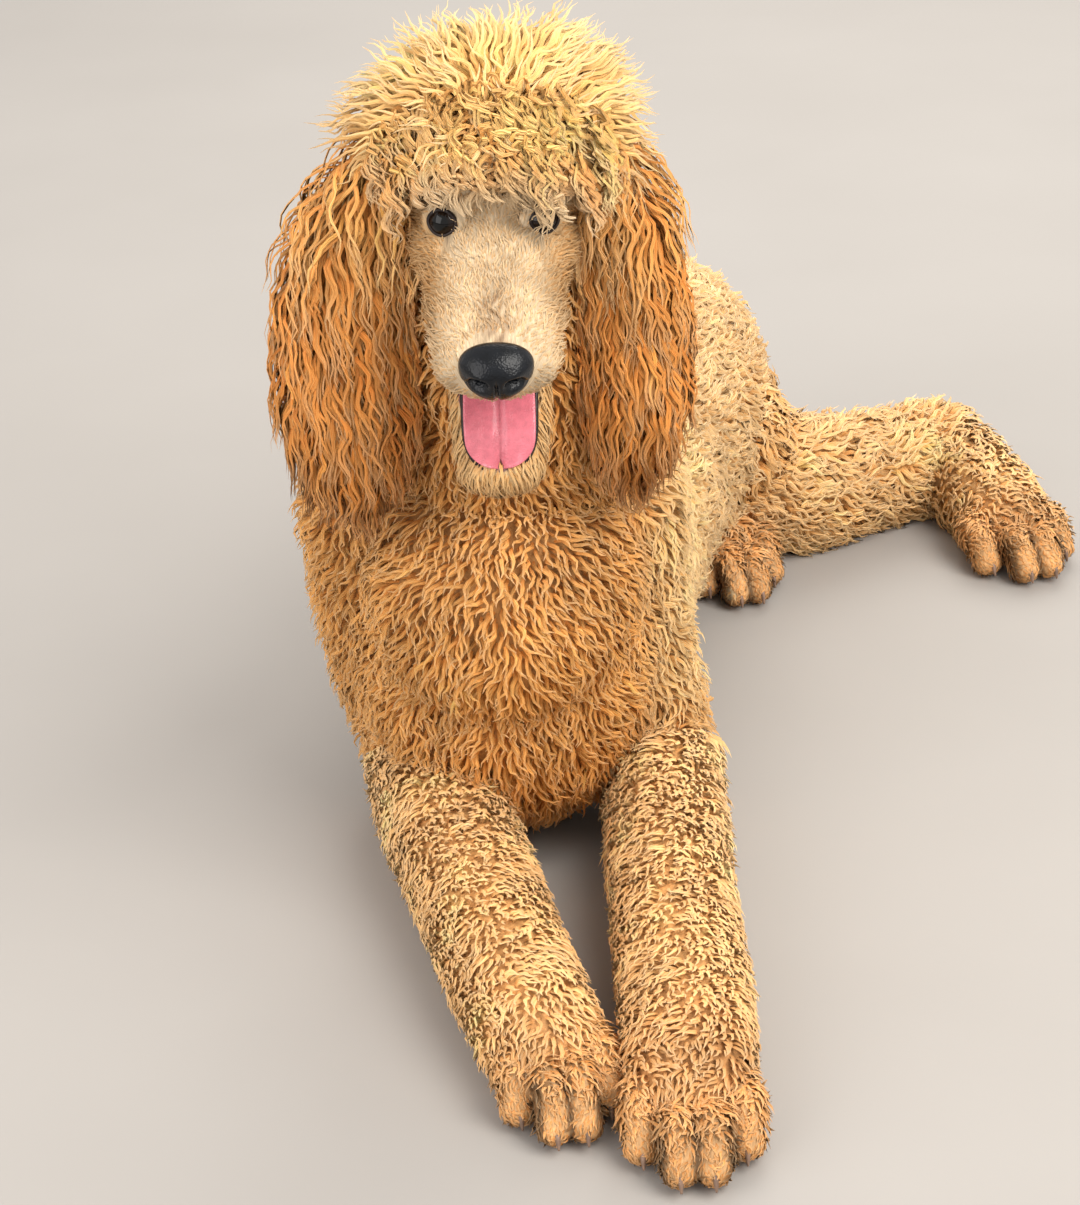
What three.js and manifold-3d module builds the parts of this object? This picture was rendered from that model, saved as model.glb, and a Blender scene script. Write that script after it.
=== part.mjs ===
// A young apricot standard poodle, lying with its head up: a still, life-size model.
// Millimetres, +Z up. The dog faces -Y and its own left side is towards +X.
// The origin is on the floor, under the breastbone.
// The dog has rolled onto its right hip, so both hind legs lie out to its left.

import * as THREE from 'three';
import { mergeVertices } from 'three/addons/utils/BufferGeometryUtils.js';
import Module from 'manifold-3d';

const wasm = await Module();
wasm.setup();
const { Manifold, Mesh: SolidMesh } = wasm;

const GAP = 0.3;
const UP = [0, 0, 1];
const FRONT = [0, -1, 0];
const SIDES = { left: 1, right: -1 };

// Where the head is, how far it is tipped down, and the eyes in it.
const HEAD_AT = new THREE.Vector3(-18.5, -195, 440);
const HEAD_PITCH = THREE.MathUtils.degToRad(23);
const EYE = { spacing: 52, forward: -6, up: -3 };
const EYE_RADIUS = 11;
const LID_THICKNESS = 2;

// The curly coat: how far its clumps stand above the dense core, how far apart they are set,
// and their half sizes as shares of that step.
const CLUMP_RISE = 12;
const BODY_STEP = 76;
const LEG_STEP = 54;
const CLUMP_SHARES = { width: 0.78, length: 0.86, depth: 0.46 };

// The long hair: half widths and thickness of its flat locks.
const EAR_LOCK = { width: 21, thickness: 5 };
const TOP_LOCK = { width: 19, thickness: 5.5 };
const EAR_COAT = 13;
const EAR_ROWS = [
  { start: 0.04, count: 3 },
  { start: 0.32, count: 5 },
  { start: 0.62, count: 5 },
];
const EAR_REACH = 0.44;
const EAR_ROOM = 8;
const EAR_CUP = [16, 12, 22];
const TOPKNOT_COAT = 27;

const COLOURS = {
  coat: 0xd29a52,
  ear: 0xb0692c,
  face: 0xd9b98a,
  foot: 0xa87b55,
  nose: 0x1b1c20,
  tongue: 0xd9747f,
  eye: 0x1a120c,
  claw: 0x8d7766,
};

// Every stage of a form is [x, y, z, half width, half height], out to the tips of the coat.
const TORSO = [
  [-20, -112, 204, 86, 92],
  [-16, -50, 161, 108, 149],
  [-4, 30, 144, 106, 154],
  [20, 130, 138, 102, 144],
  [45, 220, 122, 98, 128],
  [72, 300, 104, 96, 112],
  [92, 370, 94, 84, 98],
];
const NECK = [
  [-8, -10, 200, 92, 96],
  [-15, -72, 262, 90, 88],
  [-18, -112, 330, 72, 66],
  [-18, -130, 400, 60, 58],
];
const UPPER_ARM = {
  right: [
    [-92, -86, 232, 50, 50],
    [-88, -66, 145, 48, 50],
    [-76, -42, 62, 46, 48],
  ],
  left: [
    [40, -86, 232, 50, 50],
    [50, -78, 145, 42, 50],
    [66, -70, 62, 40, 48],
  ],
};
const FORELEG = {
  right: [
    [-72, -50, 46, 42, 48],
    [-60, -130, 42, 41, 44],
    [-42, -205, 39, 39, 41],
    [-22, -285, 35, 38, 37],
    [-8, -330, 30, 37, 33],
    [-2, -352, 24, 34, 26],
  ],
  left: [
    [70, -75, 46, 40, 48],
    [71, -150, 42, 38, 44],
    [71, -235, 39, 38, 41],
    [73, -315, 35, 39, 37],
    [72, -368, 30, 38, 33],
    [71, -392, 24, 35, 26],
  ],
};
const HIND_LEG = {
  left: {
    thigh: [
      [66, 375, 116, 62, 72],
      [106, 324, 92, 62, 68],
      [142, 290, 64, 52, 60],
    ],
    shank: [
      [142, 290, 58, 46, 56],
      [188, 294, 50, 44, 50],
      [240, 321, 44, 39, 44],
      [298, 350, 42, 36, 42],
    ],
    foot: [
      [302, 350, 40, 35, 40],
      [322, 308, 34, 36, 35],
      [335, 274, 28, 36, 30],
      [340, 256, 24, 33, 25],
    ],
  },
  right: {
    thigh: [
      [40, 360, 66, 60, 66],
      [4, 296, 56, 56, 58],
      [4, 236, 42, 44, 44],
    ],
    shank: [
      [40, 250, 36, 36, 38],
      [76, 270, 34, 35, 36],
      [108, 288, 32, 34, 34],
    ],
    foot: [
      [112, 290, 31, 33, 33],
      [126, 252, 28, 33, 29],
      [133, 230, 23, 30, 24],
    ],
  },
};
// How deep the curls are at each stage of a foreleg and of a hind foot.
const FORELEG_DEPTHS = [12, 12, 12, 7, 2, 0];
const FOOT_DEPTHS = [12, 6, 1, 0];
const TAIL = [
  [86, 400, 108, 26, 28],
  [112, 446, 84, 26, 28],
  [142, 456, 66, 25, 27],
  [168, 444, 58, 22, 24],
];
const EAR = {
  right: [
    [-66, -150, 468, 24, 30],
    [-90, -148, 420, 38, 32],
    [-101, -152, 360, 46, 32],
    [-101, -160, 310, 42, 30],
    [-97, -166, 284, 27, 22],
  ],
  left: [
    [30, -150, 468, 24, 30],
    [48, -148, 420, 34, 32],
    [54, -152, 360, 37, 32],
    [55, -158, 310, 33, 30],
    [57, -162, 292, 22, 20],
  ],
};

// The head's stages are [to its left, forward from the eyes, up, half width, half height].
const CRANIUM = [
  [0, -100, -4, 44, 38],
  [0, -62, 0, 52, 46],
  [0, -32, 2, 47, 41],
];
const CHEEK = [
  [0, -52, -30, 50, 26],
  [0, -20, -26, 44, 26],
];
const MUZZLE = [
  [0, -16, -21, 42, 25],
  [0, 20, -20, 39, 23],
  [0, 58, -19, 33, 21],
  [0, 86, -17, 28, 18],
];
const JAW = [
  [0, -34, -50, 31, 17],
  [0, 14, -72, 27, 14],
  [0, 54, -95, 24, 12],
  [0, 77, -109, 21, 12],
];
const TONGUE = [
  [0, 4, -54, 17, 4],
  [0, 44, -74, 18, 4],
  [0, 70, -87, 18, 4],
  [0, 82, -100, 16, 4],
];
const NOSE = [
  [0, 90, -8, 18, 14],
  [0, 98, -8, 19, 15],
];
const UPPER_LIP = [
  [34, 4, -40, 6, 7],
  [30, 48, -38, 6, 7],
  [20, 82, -34, 6, 7],
  [5, 94, -29, 6, 7],
];
const LOWER_LIP = [
  [31, 8, -56, 5, 5],
  [26, 44, -76, 5, 5],
  [19, 74, -96, 5, 5],
  [3, 88, -105, 5, 5],
];
const NOSTRIL = [
  [8, 118, -11, 4, 4],
  [10, 106, -12, 4, 4],
  [15, 100, -13, 4, 3],
];

// The topknot: the middle and half sizes of its outline, and its rows of locks by the angle
// from the crown at which they root and the angle that they fall through.
const POUF = {
  centre: [2, -72, 22],
  radii: [82, 88, 59],
  rows: [
    { polar: 0.12, count: 3, reach: 0.5, span: 1 },
    { polar: 0.55, count: 7, reach: 0.5, span: 1 },
    { polar: 1, count: 9, reach: 0.42, span: 1 },
    { polar: 1.42, count: 9, reach: 0.34, span: 1 },
    { polar: 1.9, count: 5, reach: 0.3, span: 0.46 },
  ],
};

// Where each foot's toes fan out from, the way it points and the pitch of its toes.
const FOOT = {
  forepaw_right: { at: [4, -368], heading: [0.15, -1], pitch: 16 },
  forepaw_left: { at: [72, -406], heading: [0.02, -1], pitch: 18 },
  hind_paw_left: { at: [342, 244], heading: [0.35, -1], pitch: 19 },
  hind_paw_right: { at: [137, 220], heading: [0.3, -1], pitch: 16 },
};
const TOES = [0, 1, 2, 3];
const TOE_RADIUS = 10.5;
const TOE_REACH = [8, 28, 28, 8];
const CLAW_LENGTH = 9;
const CLAW_RADIUS = 3.2;

// How finely each kind of form is built.
const BODY_FORM = { sides: 12, rows: 6, capRows: 2 };
const NECK_FORM = { sides: 10, rows: 3, capRows: 1 };
const ARM_FORM = { sides: 8, rows: 2, capRows: 1, up: FRONT };
const LEG_FORM = { sides: 8, rows: 5, capRows: 1 };
const HIND_FORM = { sides: 8, rows: 3, capRows: 1 };
const EAR_FORM = { sides: 8, rows: 4, capRows: 1, up: FRONT };
const SKULL_FORM = { sides: 12, rows: 4, capRows: 2 };
const LIP_FORM = { sides: 4, rows: 3, capRows: 1 };
const TOE_FORM = { sides: 6, rows: 2, capRows: 2 };
const CLAW_FORM = { sides: 4, rows: 1, capRows: 1 };
const LOCK_FORM = { sides: 3, rows: 3, capRows: 1, turn: -Math.PI / 2, cap: 0.9 };

// A seeded draw, so that the model is the same each time.
let seed = 21;
function draw(low = 0, high = 1) {
  seed = (Math.imul(seed, 1664525) + 1013904223) >>> 0;
  return low + (high - low) * (seed / 2 ** 32);
}

function solidOf(geometry) {
  const bare = geometry.clone();
  for (const name of ['normal', 'uv']) {
    bare.deleteAttribute(name);
  }
  const merged = mergeVertices(bare, 1e-4);
  return new Manifold(new SolidMesh({
    numProp: 3,
    vertProperties: new Float32Array(merged.attributes.position.array),
    triVerts: new Uint32Array(merged.index.array),
  }));
}

// The smooth line through a form's stages, with its radii and directions at t from 0 to 1.
function lineOf(stages, up = UP) {
  const centres = new THREE.CatmullRomCurve3(stages.map(([x, y, z]) => new THREE.Vector3(x, y, z)));
  const radii = new THREE.CatmullRomCurve3(stages.map((s) => new THREE.Vector3(s[3], s[4], 0)));
  const upward = new THREE.Vector3(...up);
  const length = centres.getLength();
  const frameAt = (t) => {
    const along = centres.getTangent(t);
    const side = new THREE.Vector3().crossVectors(along, upward).normalize();
    const over = new THREE.Vector3().crossVectors(side, along).normalize();
    return { centre: centres.getPoint(t), radius: radii.getPoint(t), along, side, over };
  };
  return { frameAt, length };
}

// A point on a form and the way its surface faces there. Along runs from 0 to 1 on the form's
// line, and on to -1 and 2 over its rounded ends.
function surfaceAt(line, along, spin, { cap = 0.8, grow = 0 } = {}) {
  const frame = line.frameAt(THREE.MathUtils.clamp(along, 0, 1));
  const past = along < 0 ? along : Math.max(along - 1, 0);
  const capAngle = (1 - Math.abs(past)) * Math.PI / 2;
  const round = Math.sin(capAngle);
  const width = frame.radius.x + grow;
  const height = frame.radius.y + grow;
  const reach = (Math.min(frame.radius.x, frame.radius.y) * cap + grow) * Math.cos(capAngle);
  const point = frame.centre.clone()
    .addScaledVector(frame.along, Math.sign(past) * reach)
    .addScaledVector(frame.side, -Math.cos(spin) * width * round)
    .addScaledVector(frame.over, Math.sin(spin) * height * round);
  const facing = new THREE.Vector3()
    .addScaledVector(frame.side, -Math.cos(spin) * round / width)
    .addScaledVector(frame.over, Math.sin(spin) * round / height)
    .normalize()
    .multiplyScalar(round)
    .addScaledVector(frame.along, Math.sign(past) * Math.cos(capAngle))
    .normalize();
  return { point, facing, along: frame.along };
}

// A rounded form through its stages: a sphere whose rows are spread along the line.
function form(stages, { sides, rows, capRows, cap = 0.8, grow = 0, up = UP, turn = 0 }) {
  const line = lineOf(stages, up);
  const rowCount = rows + 2 * capRows;
  const geometry = new THREE.SphereGeometry(1, sides, rowCount);
  const position = geometry.attributes.position;
  for (let i = 0; i < position.count; i += 1) {
    const polar = Math.acos(THREE.MathUtils.clamp(position.getY(i), -1, 1));
    const row = Math.round((polar / Math.PI) * rowCount) - capRows;
    const spin = Math.atan2(position.getZ(i), position.getX(i)) + turn;
    let along = row / rows;
    if (row < 0) {
      along = row / capRows;
    } else if (row > rows) {
      along = 1 + (row - rows) / capRows;
    }
    position.setXYZ(i, ...surfaceAt(line, along, spin, { cap, grow }).point.toArray());
  }
  return solidOf(geometry);
}

const join = (...solids) => Manifold.union(solids);
const onFloor = (solid) => solid.trimByPlane(UP, 0);
const largest = (solid) => solid.decompose()
  .reduce((best, piece) => (piece.volume() > best.volume() ? piece : best));

const planeOffset = (normal, at) => new THREE.Vector3(...normal).dot(new THREE.Vector3(...at));

// Parts a solid with a plane and leaves the gap between what lies ahead of it and behind it.
function part(solid, at, normal) {
  const n = new THREE.Vector3(...normal).normalize();
  const offset = planeOffset(n.toArray(), at);
  const ahead = largest(solid.trimByPlane(n.toArray(), offset + GAP / 2));
  const behind = largest(solid.trimByPlane(n.clone().negate().toArray(), GAP / 2 - offset));
  return [ahead, behind];
}

// The dense core of the coat under the clumps. It keeps its underside, which lies on the floor,
// and comes out to the tips where the coat is clipped, on the feet.
const lyingCore = (stages, depths = []) => stages.map(([x, y, z, width, height], k) => {
  const depth = depths[k] ?? CLUMP_RISE;
  return [x, y, z - depth / 2, width - depth, height - depth / 2];
});
const core = (stages, depth) => stages.map(([x, y, z, width, height]) => [
  x, y, z, width - depth, height - depth,
]);

// A form's line with frames along it, to tell whether a point lies inside the form.
const shapeOf = (stages, up = UP) => {
  const line = lineOf(stages, up);
  const frames = [];
  for (let i = 0; i <= 24; i += 1) {
    frames.push(line.frameAt(i / 24));
  }
  return { line, frames };
};

function inside({ frames }, point, margin = 0) {
  const nearest = frames.reduce(
    (best, frame) => (frame.centre.distanceTo(point) < best.centre.distanceTo(point) ? frame : best),
  );
  const { centre, radius, side, over, along } = nearest;
  const offset = point.clone().sub(centre);
  const endRadius = Math.min(radius.x, radius.y) * 0.8;
  return Math.hypot(
    offset.dot(side) / (radius.x + margin),
    offset.dot(over) / (radius.y + margin),
    offset.dot(along) / (endRadius + margin),
  ) < 1;
}

// Places closely set over a form. A place that another form covers, or that lies on the floor,
// is left out. Along runs from below 0 to above 1 to take in the form's rounded ends.
function placesOn(shape, { from = -1, to = 2, covers = [], margin = -4, clear = 16 }) {
  const grain = 11;
  const places = [];
  const rowCount = Math.ceil(shape.line.length / grain);
  const capCount = 5;
  for (let row = -capCount; row <= rowCount + capCount; row += 1) {
    let along = row / rowCount;
    if (row < 0) {
      along = row / capCount;
    } else if (row > rowCount) {
      along = 1 + (row - rowCount) / capCount;
    }
    const { radius } = shape.line.frameAt(THREE.MathUtils.clamp(along, 0, 1));
    const past = along < 0 ? -along : Math.max(along - 1, 0);
    const girth = 2 * Math.PI * Math.hypot(radius.x, radius.y) / Math.SQRT2 * Math.cos(past * Math.PI / 2);
    const count = Math.max(Math.round(girth / grain), 1);
    for (let k = 0; k < count && along >= from && along <= to; k += 1) {
      const place = surfaceAt(shape.line, along, ((k + draw()) / count) * 2 * Math.PI);
      const tip = place.point.clone().addScaledVector(place.facing, CLUMP_RISE * 0.8);
      if (tip.z > clear && !covers.some((cover) => inside(cover, tip, margin))) {
        places.push(place);
      }
    }
  }
  return places;
}

// Sets centres evenly among closely set places: each next one is the place farthest from those
// before it, and then each moves to the middle of the places around it.
function spread(places, step) {
  let centres = [];
  const away = places.map(() => Infinity);
  let next = 0;
  while (away[next] > step) {
    const centre = places[next];
    centres.push(centre);
    places.forEach(({ point }, i) => {
      away[i] = Math.min(away[i], point.distanceTo(centre.point));
    });
    next = away.indexOf(Math.max(...away));
  }
  for (let round = 0; round < 4; round += 1) {
    const groups = centres.map(() => []);
    for (const place of places) {
      const distances = centres.map(({ point }) => point.distanceTo(place.point));
      groups[distances.indexOf(Math.min(...distances))].push(place);
    }
    centres = groups.filter((group) => group.length > 0).map((group) => {
      const middle = new THREE.Vector3();
      group.forEach(({ point }) => middle.addScaledVector(point, 1 / group.length));
      return group.reduce(
        (best, place) => (place.point.distanceTo(middle) < best.point.distanceTo(middle) ? place : best),
      );
    });
  }
  return centres.map((centre) => ({ ...centre, step, turn: draw(-0.4, 0.4), scale: draw(0.94, 1.1) }));
}

// A rounded clump: a ball of few sides, sunk into the core and long in the way the coat lies.
const CLUMP_SIDES = 6;
const CLUMP_ROWS = 4;
function clump({ point, facing, along, step, turn, scale }, grow) {
  const lie = along.clone().addScaledVector(facing, -along.dot(facing));
  if (lie.length() < 0.3) {
    lie.set(0, 0, -1).addScaledVector(facing, facing.z);
  }
  lie.normalize().applyAxisAngle(facing, turn);
  const across = new THREE.Vector3().crossVectors(lie, facing);
  const width = step * CLUMP_SHARES.width * scale + grow;
  const length = step * CLUMP_SHARES.length * scale + grow;
  const depth = step * CLUMP_SHARES.depth + grow;
  const at = point.clone().addScaledVector(facing, CLUMP_RISE * scale - step * CLUMP_SHARES.depth);
  const ball = new THREE.SphereGeometry(1, CLUMP_SIDES, CLUMP_ROWS);
  const placed = new THREE.Matrix4().makeBasis(
    lie.multiplyScalar(length),
    facing.clone().multiplyScalar(depth),
    across.multiplyScalar(width),
  ).setPosition(at);
  return solidOf(ball.applyMatrix4(placed));
}

const headFrame = new THREE.Matrix4().makeRotationX(HEAD_PITCH).setPosition(HEAD_AT);
const inHead = (left, forward, up) => new THREE.Vector3(left, -forward, up)
  .applyMatrix4(headFrame).toArray();
const HEAD_UP = [0, -Math.sin(HEAD_PITCH), Math.cos(HEAD_PITCH)];
const HEAD_FRONT = [0, -Math.cos(HEAD_PITCH), -Math.sin(HEAD_PITCH)];
const onSide = (stages, side) => stages.map(([left, ...rest]) => [side * left, ...rest]);
const headStages = (stages) => stages.map(([left, forward, up, width, height]) => [
  ...inHead(left, forward, up), width, height,
]);
const headForm = (stages, options) => form(headStages(stages), { up: HEAD_UP, ...options });

const nodes = [];
const addNode = (name, solid, colour) => nodes.push([name, solid, colour]);

const eyeCentre = (side) => inHead(side * EYE.spacing / 2, EYE.forward, EYE.up);

// The front half of an eyeball, which is the part that the lids leave to be seen.
function eyeball(side, grow = 0) {
  const geometry = new THREE.SphereGeometry(EYE_RADIUS + grow, 10, 6);
  geometry.rotateX(Math.PI / 2 + HEAD_PITCH);
  geometry.translate(...eyeCentre(side));
  return solidOf(geometry).trimByPlane(HEAD_FRONT, planeOffset(HEAD_FRONT, eyeCentre(side)) - grow);
}

// The opening between the lids: an almond that widens outwards from the eyeball.
function almond(side) {
  const left = side * EYE.spacing / 2;
  return headForm([
    [left, EYE.forward, EYE.up, 2, 2],
    [left + side * 5, EYE.forward + 13, EYE.up + 2, 11, 8],
    [left + side * 12, EYE.forward + 27, EYE.up + 6, 21, 14],
  ], { sides: 8, rows: 2, capRows: 1 });
}

// A flat, tapered lock through its points, with its flat side facing the given way.
function lock(points, facing, { width, thickness }) {
  const last = points.length - 1;
  const stages = points.map((point, k) => {
    const taper = 1 - 0.86 * (k / last) ** 1.6;
    return [...point.toArray(), width * taper, thickness * (0.5 + 0.5 * taper)];
  });
  return form(stages, { ...LOCK_FORM, up: facing.toArray() });
}

// The topknot's locks rise from a dense core and bend over away from the crown, row under row.
function topknotLocks() {
  const { centre, radii, rows } = POUF;
  const at = (polar, turn, sink) => {
    const [left, forward, up] = [
      Math.sin(polar) * Math.sin(turn) * (radii[0] - sink),
      -Math.sin(polar) * Math.cos(turn) * (radii[1] - sink),
      Math.cos(polar) * (radii[2] - sink),
    ];
    return new THREE.Vector3(...inHead(centre[0] + left, centre[1] + forward, centre[2] + up));
  };
  const locks = [];
  for (const { polar, count, reach, span } of rows) {
    for (let k = 0; k < count; k += 1) {
      const turn = ((k + 0.5 + draw(-0.2, 0.2)) / count - 0.5) * span * 2 * Math.PI;
      const swirl = draw(-0.25, 0.25) / Math.max(Math.sin(polar), 0.4);
      const fall = reach + draw(-0.08, 0.12);
      const points = [
        at(polar, turn, TOPKNOT_COAT + 8),
        at(polar + fall * 0.2, turn - swirl * 0.4, TOPKNOT_COAT * 0.45),
        at(polar + fall * 0.6, turn + swirl * 0.2, 5),
        at(polar + fall, turn + swirl, draw(-7, 3)),
      ];
      const facing = points[2].clone().sub(points[0]).normalize();
      locks.push(lock(points, facing, TOP_LOCK));
    }
  }
  return locks;
}

function topknotCore() {
  const { centre, radii } = POUF;
  const core = new THREE.SphereGeometry(1, 12, 8);
  const inner = radii.map((radius) => radius - TOPKNOT_COAT * 2 / 3);
  core.scale(inner[0], inner[1], inner[2]);
  core.translate(centre[0], -centre[1], centre[2]);
  return solidOf(core.applyMatrix4(headFrame));
}

function makeHead() {
  const eyes = Object.values(SIDES);
  let head = join(
    headForm(CRANIUM, SKULL_FORM),
    headForm(CHEEK, { ...SKULL_FORM, rows: 2 }),
    headForm(MUZZLE, SKULL_FORM),
    topknotCore(),
    ...topknotLocks(),
    ...eyes.map((side) => headForm(onSide(UPPER_LIP, side), LIP_FORM)),
    ...eyes.map((side) => eyeball(side, GAP + LID_THICKNESS)),
  );
  for (const side of eyes) {
    head = head.subtract(almond(side)).subtract(eyeball(side, GAP));
  }
  return head;
}

const NOSE_FORM = { sides: 10, rows: 1, capRows: 2 };
const TONGUE_FORM = { sides: 10, rows: 4, capRows: 2 };
const JAW_FORM = { sides: 10, rows: 4, capRows: 2 };
const tongue = (grow) => headForm(TONGUE, { ...TONGUE_FORM, grow });
const lowerJaw = (grow) => join(
  headForm(JAW, { ...JAW_FORM, grow }),
  ...Object.values(SIDES).map((side) => headForm(onSide(LOWER_LIP, side), { ...LIP_FORM, grow })),
);
const nose = () => Object.values(SIDES).reduce(
  (solid, side) => solid.subtract(headForm(onSide(NOSTRIL, side), LIP_FORM)),
  headForm(NOSE, NOSE_FORM),
);

// The hollow of the ear, in its inner face near the root.
function earCup(side) {
  const inward = SIDES[side] < 0 ? 0 : Math.PI;
  const { point } = surfaceAt(lineOf(EAR[side], FRONT), 0.14, inward);
  const hollow = new THREE.SphereGeometry(1, 8, 4);
  hollow.scale(...EAR_CUP);
  hollow.translate(...point.toArray());
  return solidOf(hollow);
}

// The long ear: a leather and dense hair under locks that hang down it and past its end.
function ear(side) {
  const hair = lineOf(EAR[side], FRONT);
  const locks = [];
  for (const { start, count } of EAR_ROWS) {
    for (let k = 0; k < count; k += 1) {
      const spin = ((k + draw(-0.15, 0.15)) / count) * 2 * Math.PI + start * 4;
      const reach = EAR_REACH + draw(-0.05, 0.08);
      const places = [0, 0.3, 0.65, 1].map((share, step) => {
        const along = start + reach * share;
        const past = Math.max(along - 1, 0);
        const sway = step % 2 === 0 ? 0.1 : -0.1;
        const sink = -EAR_COAT * 1.3 * (1 - share) ** 1.5;
        const place = surfaceAt(hair, Math.min(along, 1), spin + sway, { grow: sink - past * 50 });
        place.point.z -= past * hair.length * 0.6;
        return place;
      });
      locks.push(lock(places.map(({ point }) => point), places[2].facing, EAR_LOCK));
    }
  }
  return join(form(core(EAR[side], EAR_COAT), { ...EAR_FORM, cap: 0.5 }), ...locks)
    .subtract(earCup(side));
}

// One toe with its bent knuckle, and the claw at its tip, in the foot's own directions.
function toeStages(foot, index) {
  const { at, heading, pitch } = FOOT[foot];
  const ahead = new THREE.Vector2(...heading).normalize();
  const across = new THREE.Vector2(-ahead.y, ahead.x);
  const place = (forward, up, width, height) => {
    const fan = (index - 1.5) * pitch;
    const p = new THREE.Vector2(...at).addScaledVector(ahead, forward).addScaledVector(across, fan);
    return [p.x, p.y, up, width, height];
  };
  const reach = TOE_REACH[index];
  const toe = [
    place(reach - 38, 22, TOE_RADIUS, TOE_RADIUS),
    place(reach - 14, 24, TOE_RADIUS - 0.5, TOE_RADIUS),
    place(reach, 11, TOE_RADIUS - 1, TOE_RADIUS),
  ];
  const claw = [
    place(reach + 4, 13, CLAW_RADIUS, CLAW_RADIUS),
    place(reach + 4 + CLAW_LENGTH / 2, 11.5, CLAW_RADIUS * 0.8, CLAW_RADIUS * 0.8),
    place(reach + 4 + CLAW_LENGTH, 6, CLAW_RADIUS * 0.35, CLAW_RADIUS * 0.35),
  ];
  return { toe, claw };
}

const toes = (foot, grow) => TOES.map((index) => form(toeStages(foot, index).toe, { ...TOE_FORM, grow }));

function addFoot(foot, solid) {
  let paw = solid;
  for (const index of TOES) {
    const { claw } = toeStages(foot, index);
    paw = paw.subtract(form(claw, { ...CLAW_FORM, grow: GAP }));
    addNode(`${foot}_claw_${index + 1}`, form(claw, CLAW_FORM), COLOURS.claw);
  }
  addNode(foot, largest(onFloor(paw)), COLOURS.foot);
}

// Where the clumps are set on the cores of the body and legs.
const earShapes = Object.values(EAR).map((stages) => shapeOf(stages, FRONT));
const armShapes = Object.values(UPPER_ARM).map((stages) => shapeOf(stages, FRONT));
const torsoShape = shapeOf(TORSO);
const neckShape = shapeOf(NECK);
const headShapes = [CRANIUM, CHEEK, MUZZLE].map((stages) => shapeOf(headStages(stages), HEAD_UP));
const legShapes = [...Object.values(FORELEG), ...Object.values(HIND_LEG).flatMap(Object.values)]
  .map((stages) => shapeOf(stages));
const trunkShapes = [torsoShape, neckShape, ...armShapes];
const tailShape = shapeOf(TAIL);

const onTorso = placesOn(shapeOf(lyingCore(TORSO)), {
  covers: [neckShape, ...armShapes, ...legShapes, ...earShapes, tailShape],
});
const onNeck = placesOn(shapeOf(core(NECK, CLUMP_RISE)), {
  from: 0,
  to: 1,
  covers: [torsoShape, ...armShapes, ...headShapes, ...earShapes],
});
const onArms = Object.values(UPPER_ARM).flatMap((stages) => placesOn(
  shapeOf(core(stages, CLUMP_RISE), FRONT),
  { covers: [torsoShape, neckShape, ...legShapes, ...earShapes] },
));
const onThighs = Object.values(HIND_LEG).flatMap(({ thigh, shank }) => placesOn(
  shapeOf(lyingCore(thigh)),
  { covers: [torsoShape, shapeOf(shank), tailShape] },
));
const bodyPlaces = spread([...onTorso, ...onNeck, ...onArms, ...onThighs], BODY_STEP);
const forelegPlaces = {};
const hindPlaces = {};
for (const side of Object.keys(SIDES)) {
  const { thigh, shank, foot } = HIND_LEG[side];
  forelegPlaces[side] = spread(placesOn(shapeOf(lyingCore(FORELEG[side], FORELEG_DEPTHS)), {
    from: 0,
    to: 0.6,
    covers: trunkShapes,
  }), LEG_STEP);
  hindPlaces[side] = spread([
    ...placesOn(shapeOf(lyingCore(shank)), { covers: [...trunkShapes, shapeOf(thigh), shapeOf(foot)] }),
    ...placesOn(shapeOf(lyingCore(foot, FOOT_DEPTHS)), {
      to: 0.3,
      covers: [...trunkShapes, shapeOf(thigh), shapeOf(shank)],
    }),
  ], LEG_STEP);
}
const tailPlaces = spread(placesOn(shapeOf(core(TAIL, CLUMP_RISE)), {
  covers: [torsoShape, ...legShapes],
}), LEG_STEP);

const clumps = (places, grow = 0) => places.map((place) => clump(place, grow));
const foreleg = (side, grow = 0) => join(
  form(lyingCore(FORELEG[side], FORELEG_DEPTHS), { ...LEG_FORM, grow }),
  ...toes(`forepaw_${side}`, grow),
  ...clumps(forelegPlaces[side], grow),
);
const hindLeg = (side, grow = 0) => join(
  form(lyingCore(HIND_LEG[side].shank), { ...HIND_FORM, grow }),
  form(lyingCore(HIND_LEG[side].foot, FOOT_DEPTHS), { ...HIND_FORM, grow }),
  ...toes(`hind_paw_${side}`, grow),
  ...clumps(hindPlaces[side], grow),
);
const tail = (grow = 0) => join(
  form(core(TAIL, CLUMP_RISE), { ...HIND_FORM, grow }),
  ...clumps(tailPlaces, grow),
);

let trunk = join(
  form(lyingCore(TORSO), BODY_FORM),
  form(core(NECK, CLUMP_RISE), NECK_FORM),
  ...Object.values(UPPER_ARM).map((stages) => form(core(stages, CLUMP_RISE), ARM_FORM)),
  ...Object.values(HIND_LEG).map(({ thigh }) => form(lyingCore(thigh), HIND_FORM)),
  hindLeg('left'),
  ...clumps(bodyPlaces),
  makeHead(),
);
for (const side of Object.keys(SIDES)) {
  const room = form(EAR[side], { ...EAR_FORM, grow: EAR_ROOM });
  trunk = trunk
    .subtract(form(EAR[side], { ...EAR_FORM, grow: EAR_ROOM + GAP }))
    .subtract(foreleg(side, GAP));
  addNode(`ear_${side}`, largest(ear(side).intersect(room)), COLOURS.ear);
  addNode(`eye_${side}`, eyeball(SIDES[side]), COLOURS.eye);
}
trunk = onFloor(trunk
  .subtract(hindLeg('right', GAP))
  .subtract(lowerJaw(GAP))
  .subtract(tongue(GAP))
  .subtract(headForm(NOSE, { ...NOSE_FORM, grow: GAP }))
  .subtract(tail(GAP)));

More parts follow.
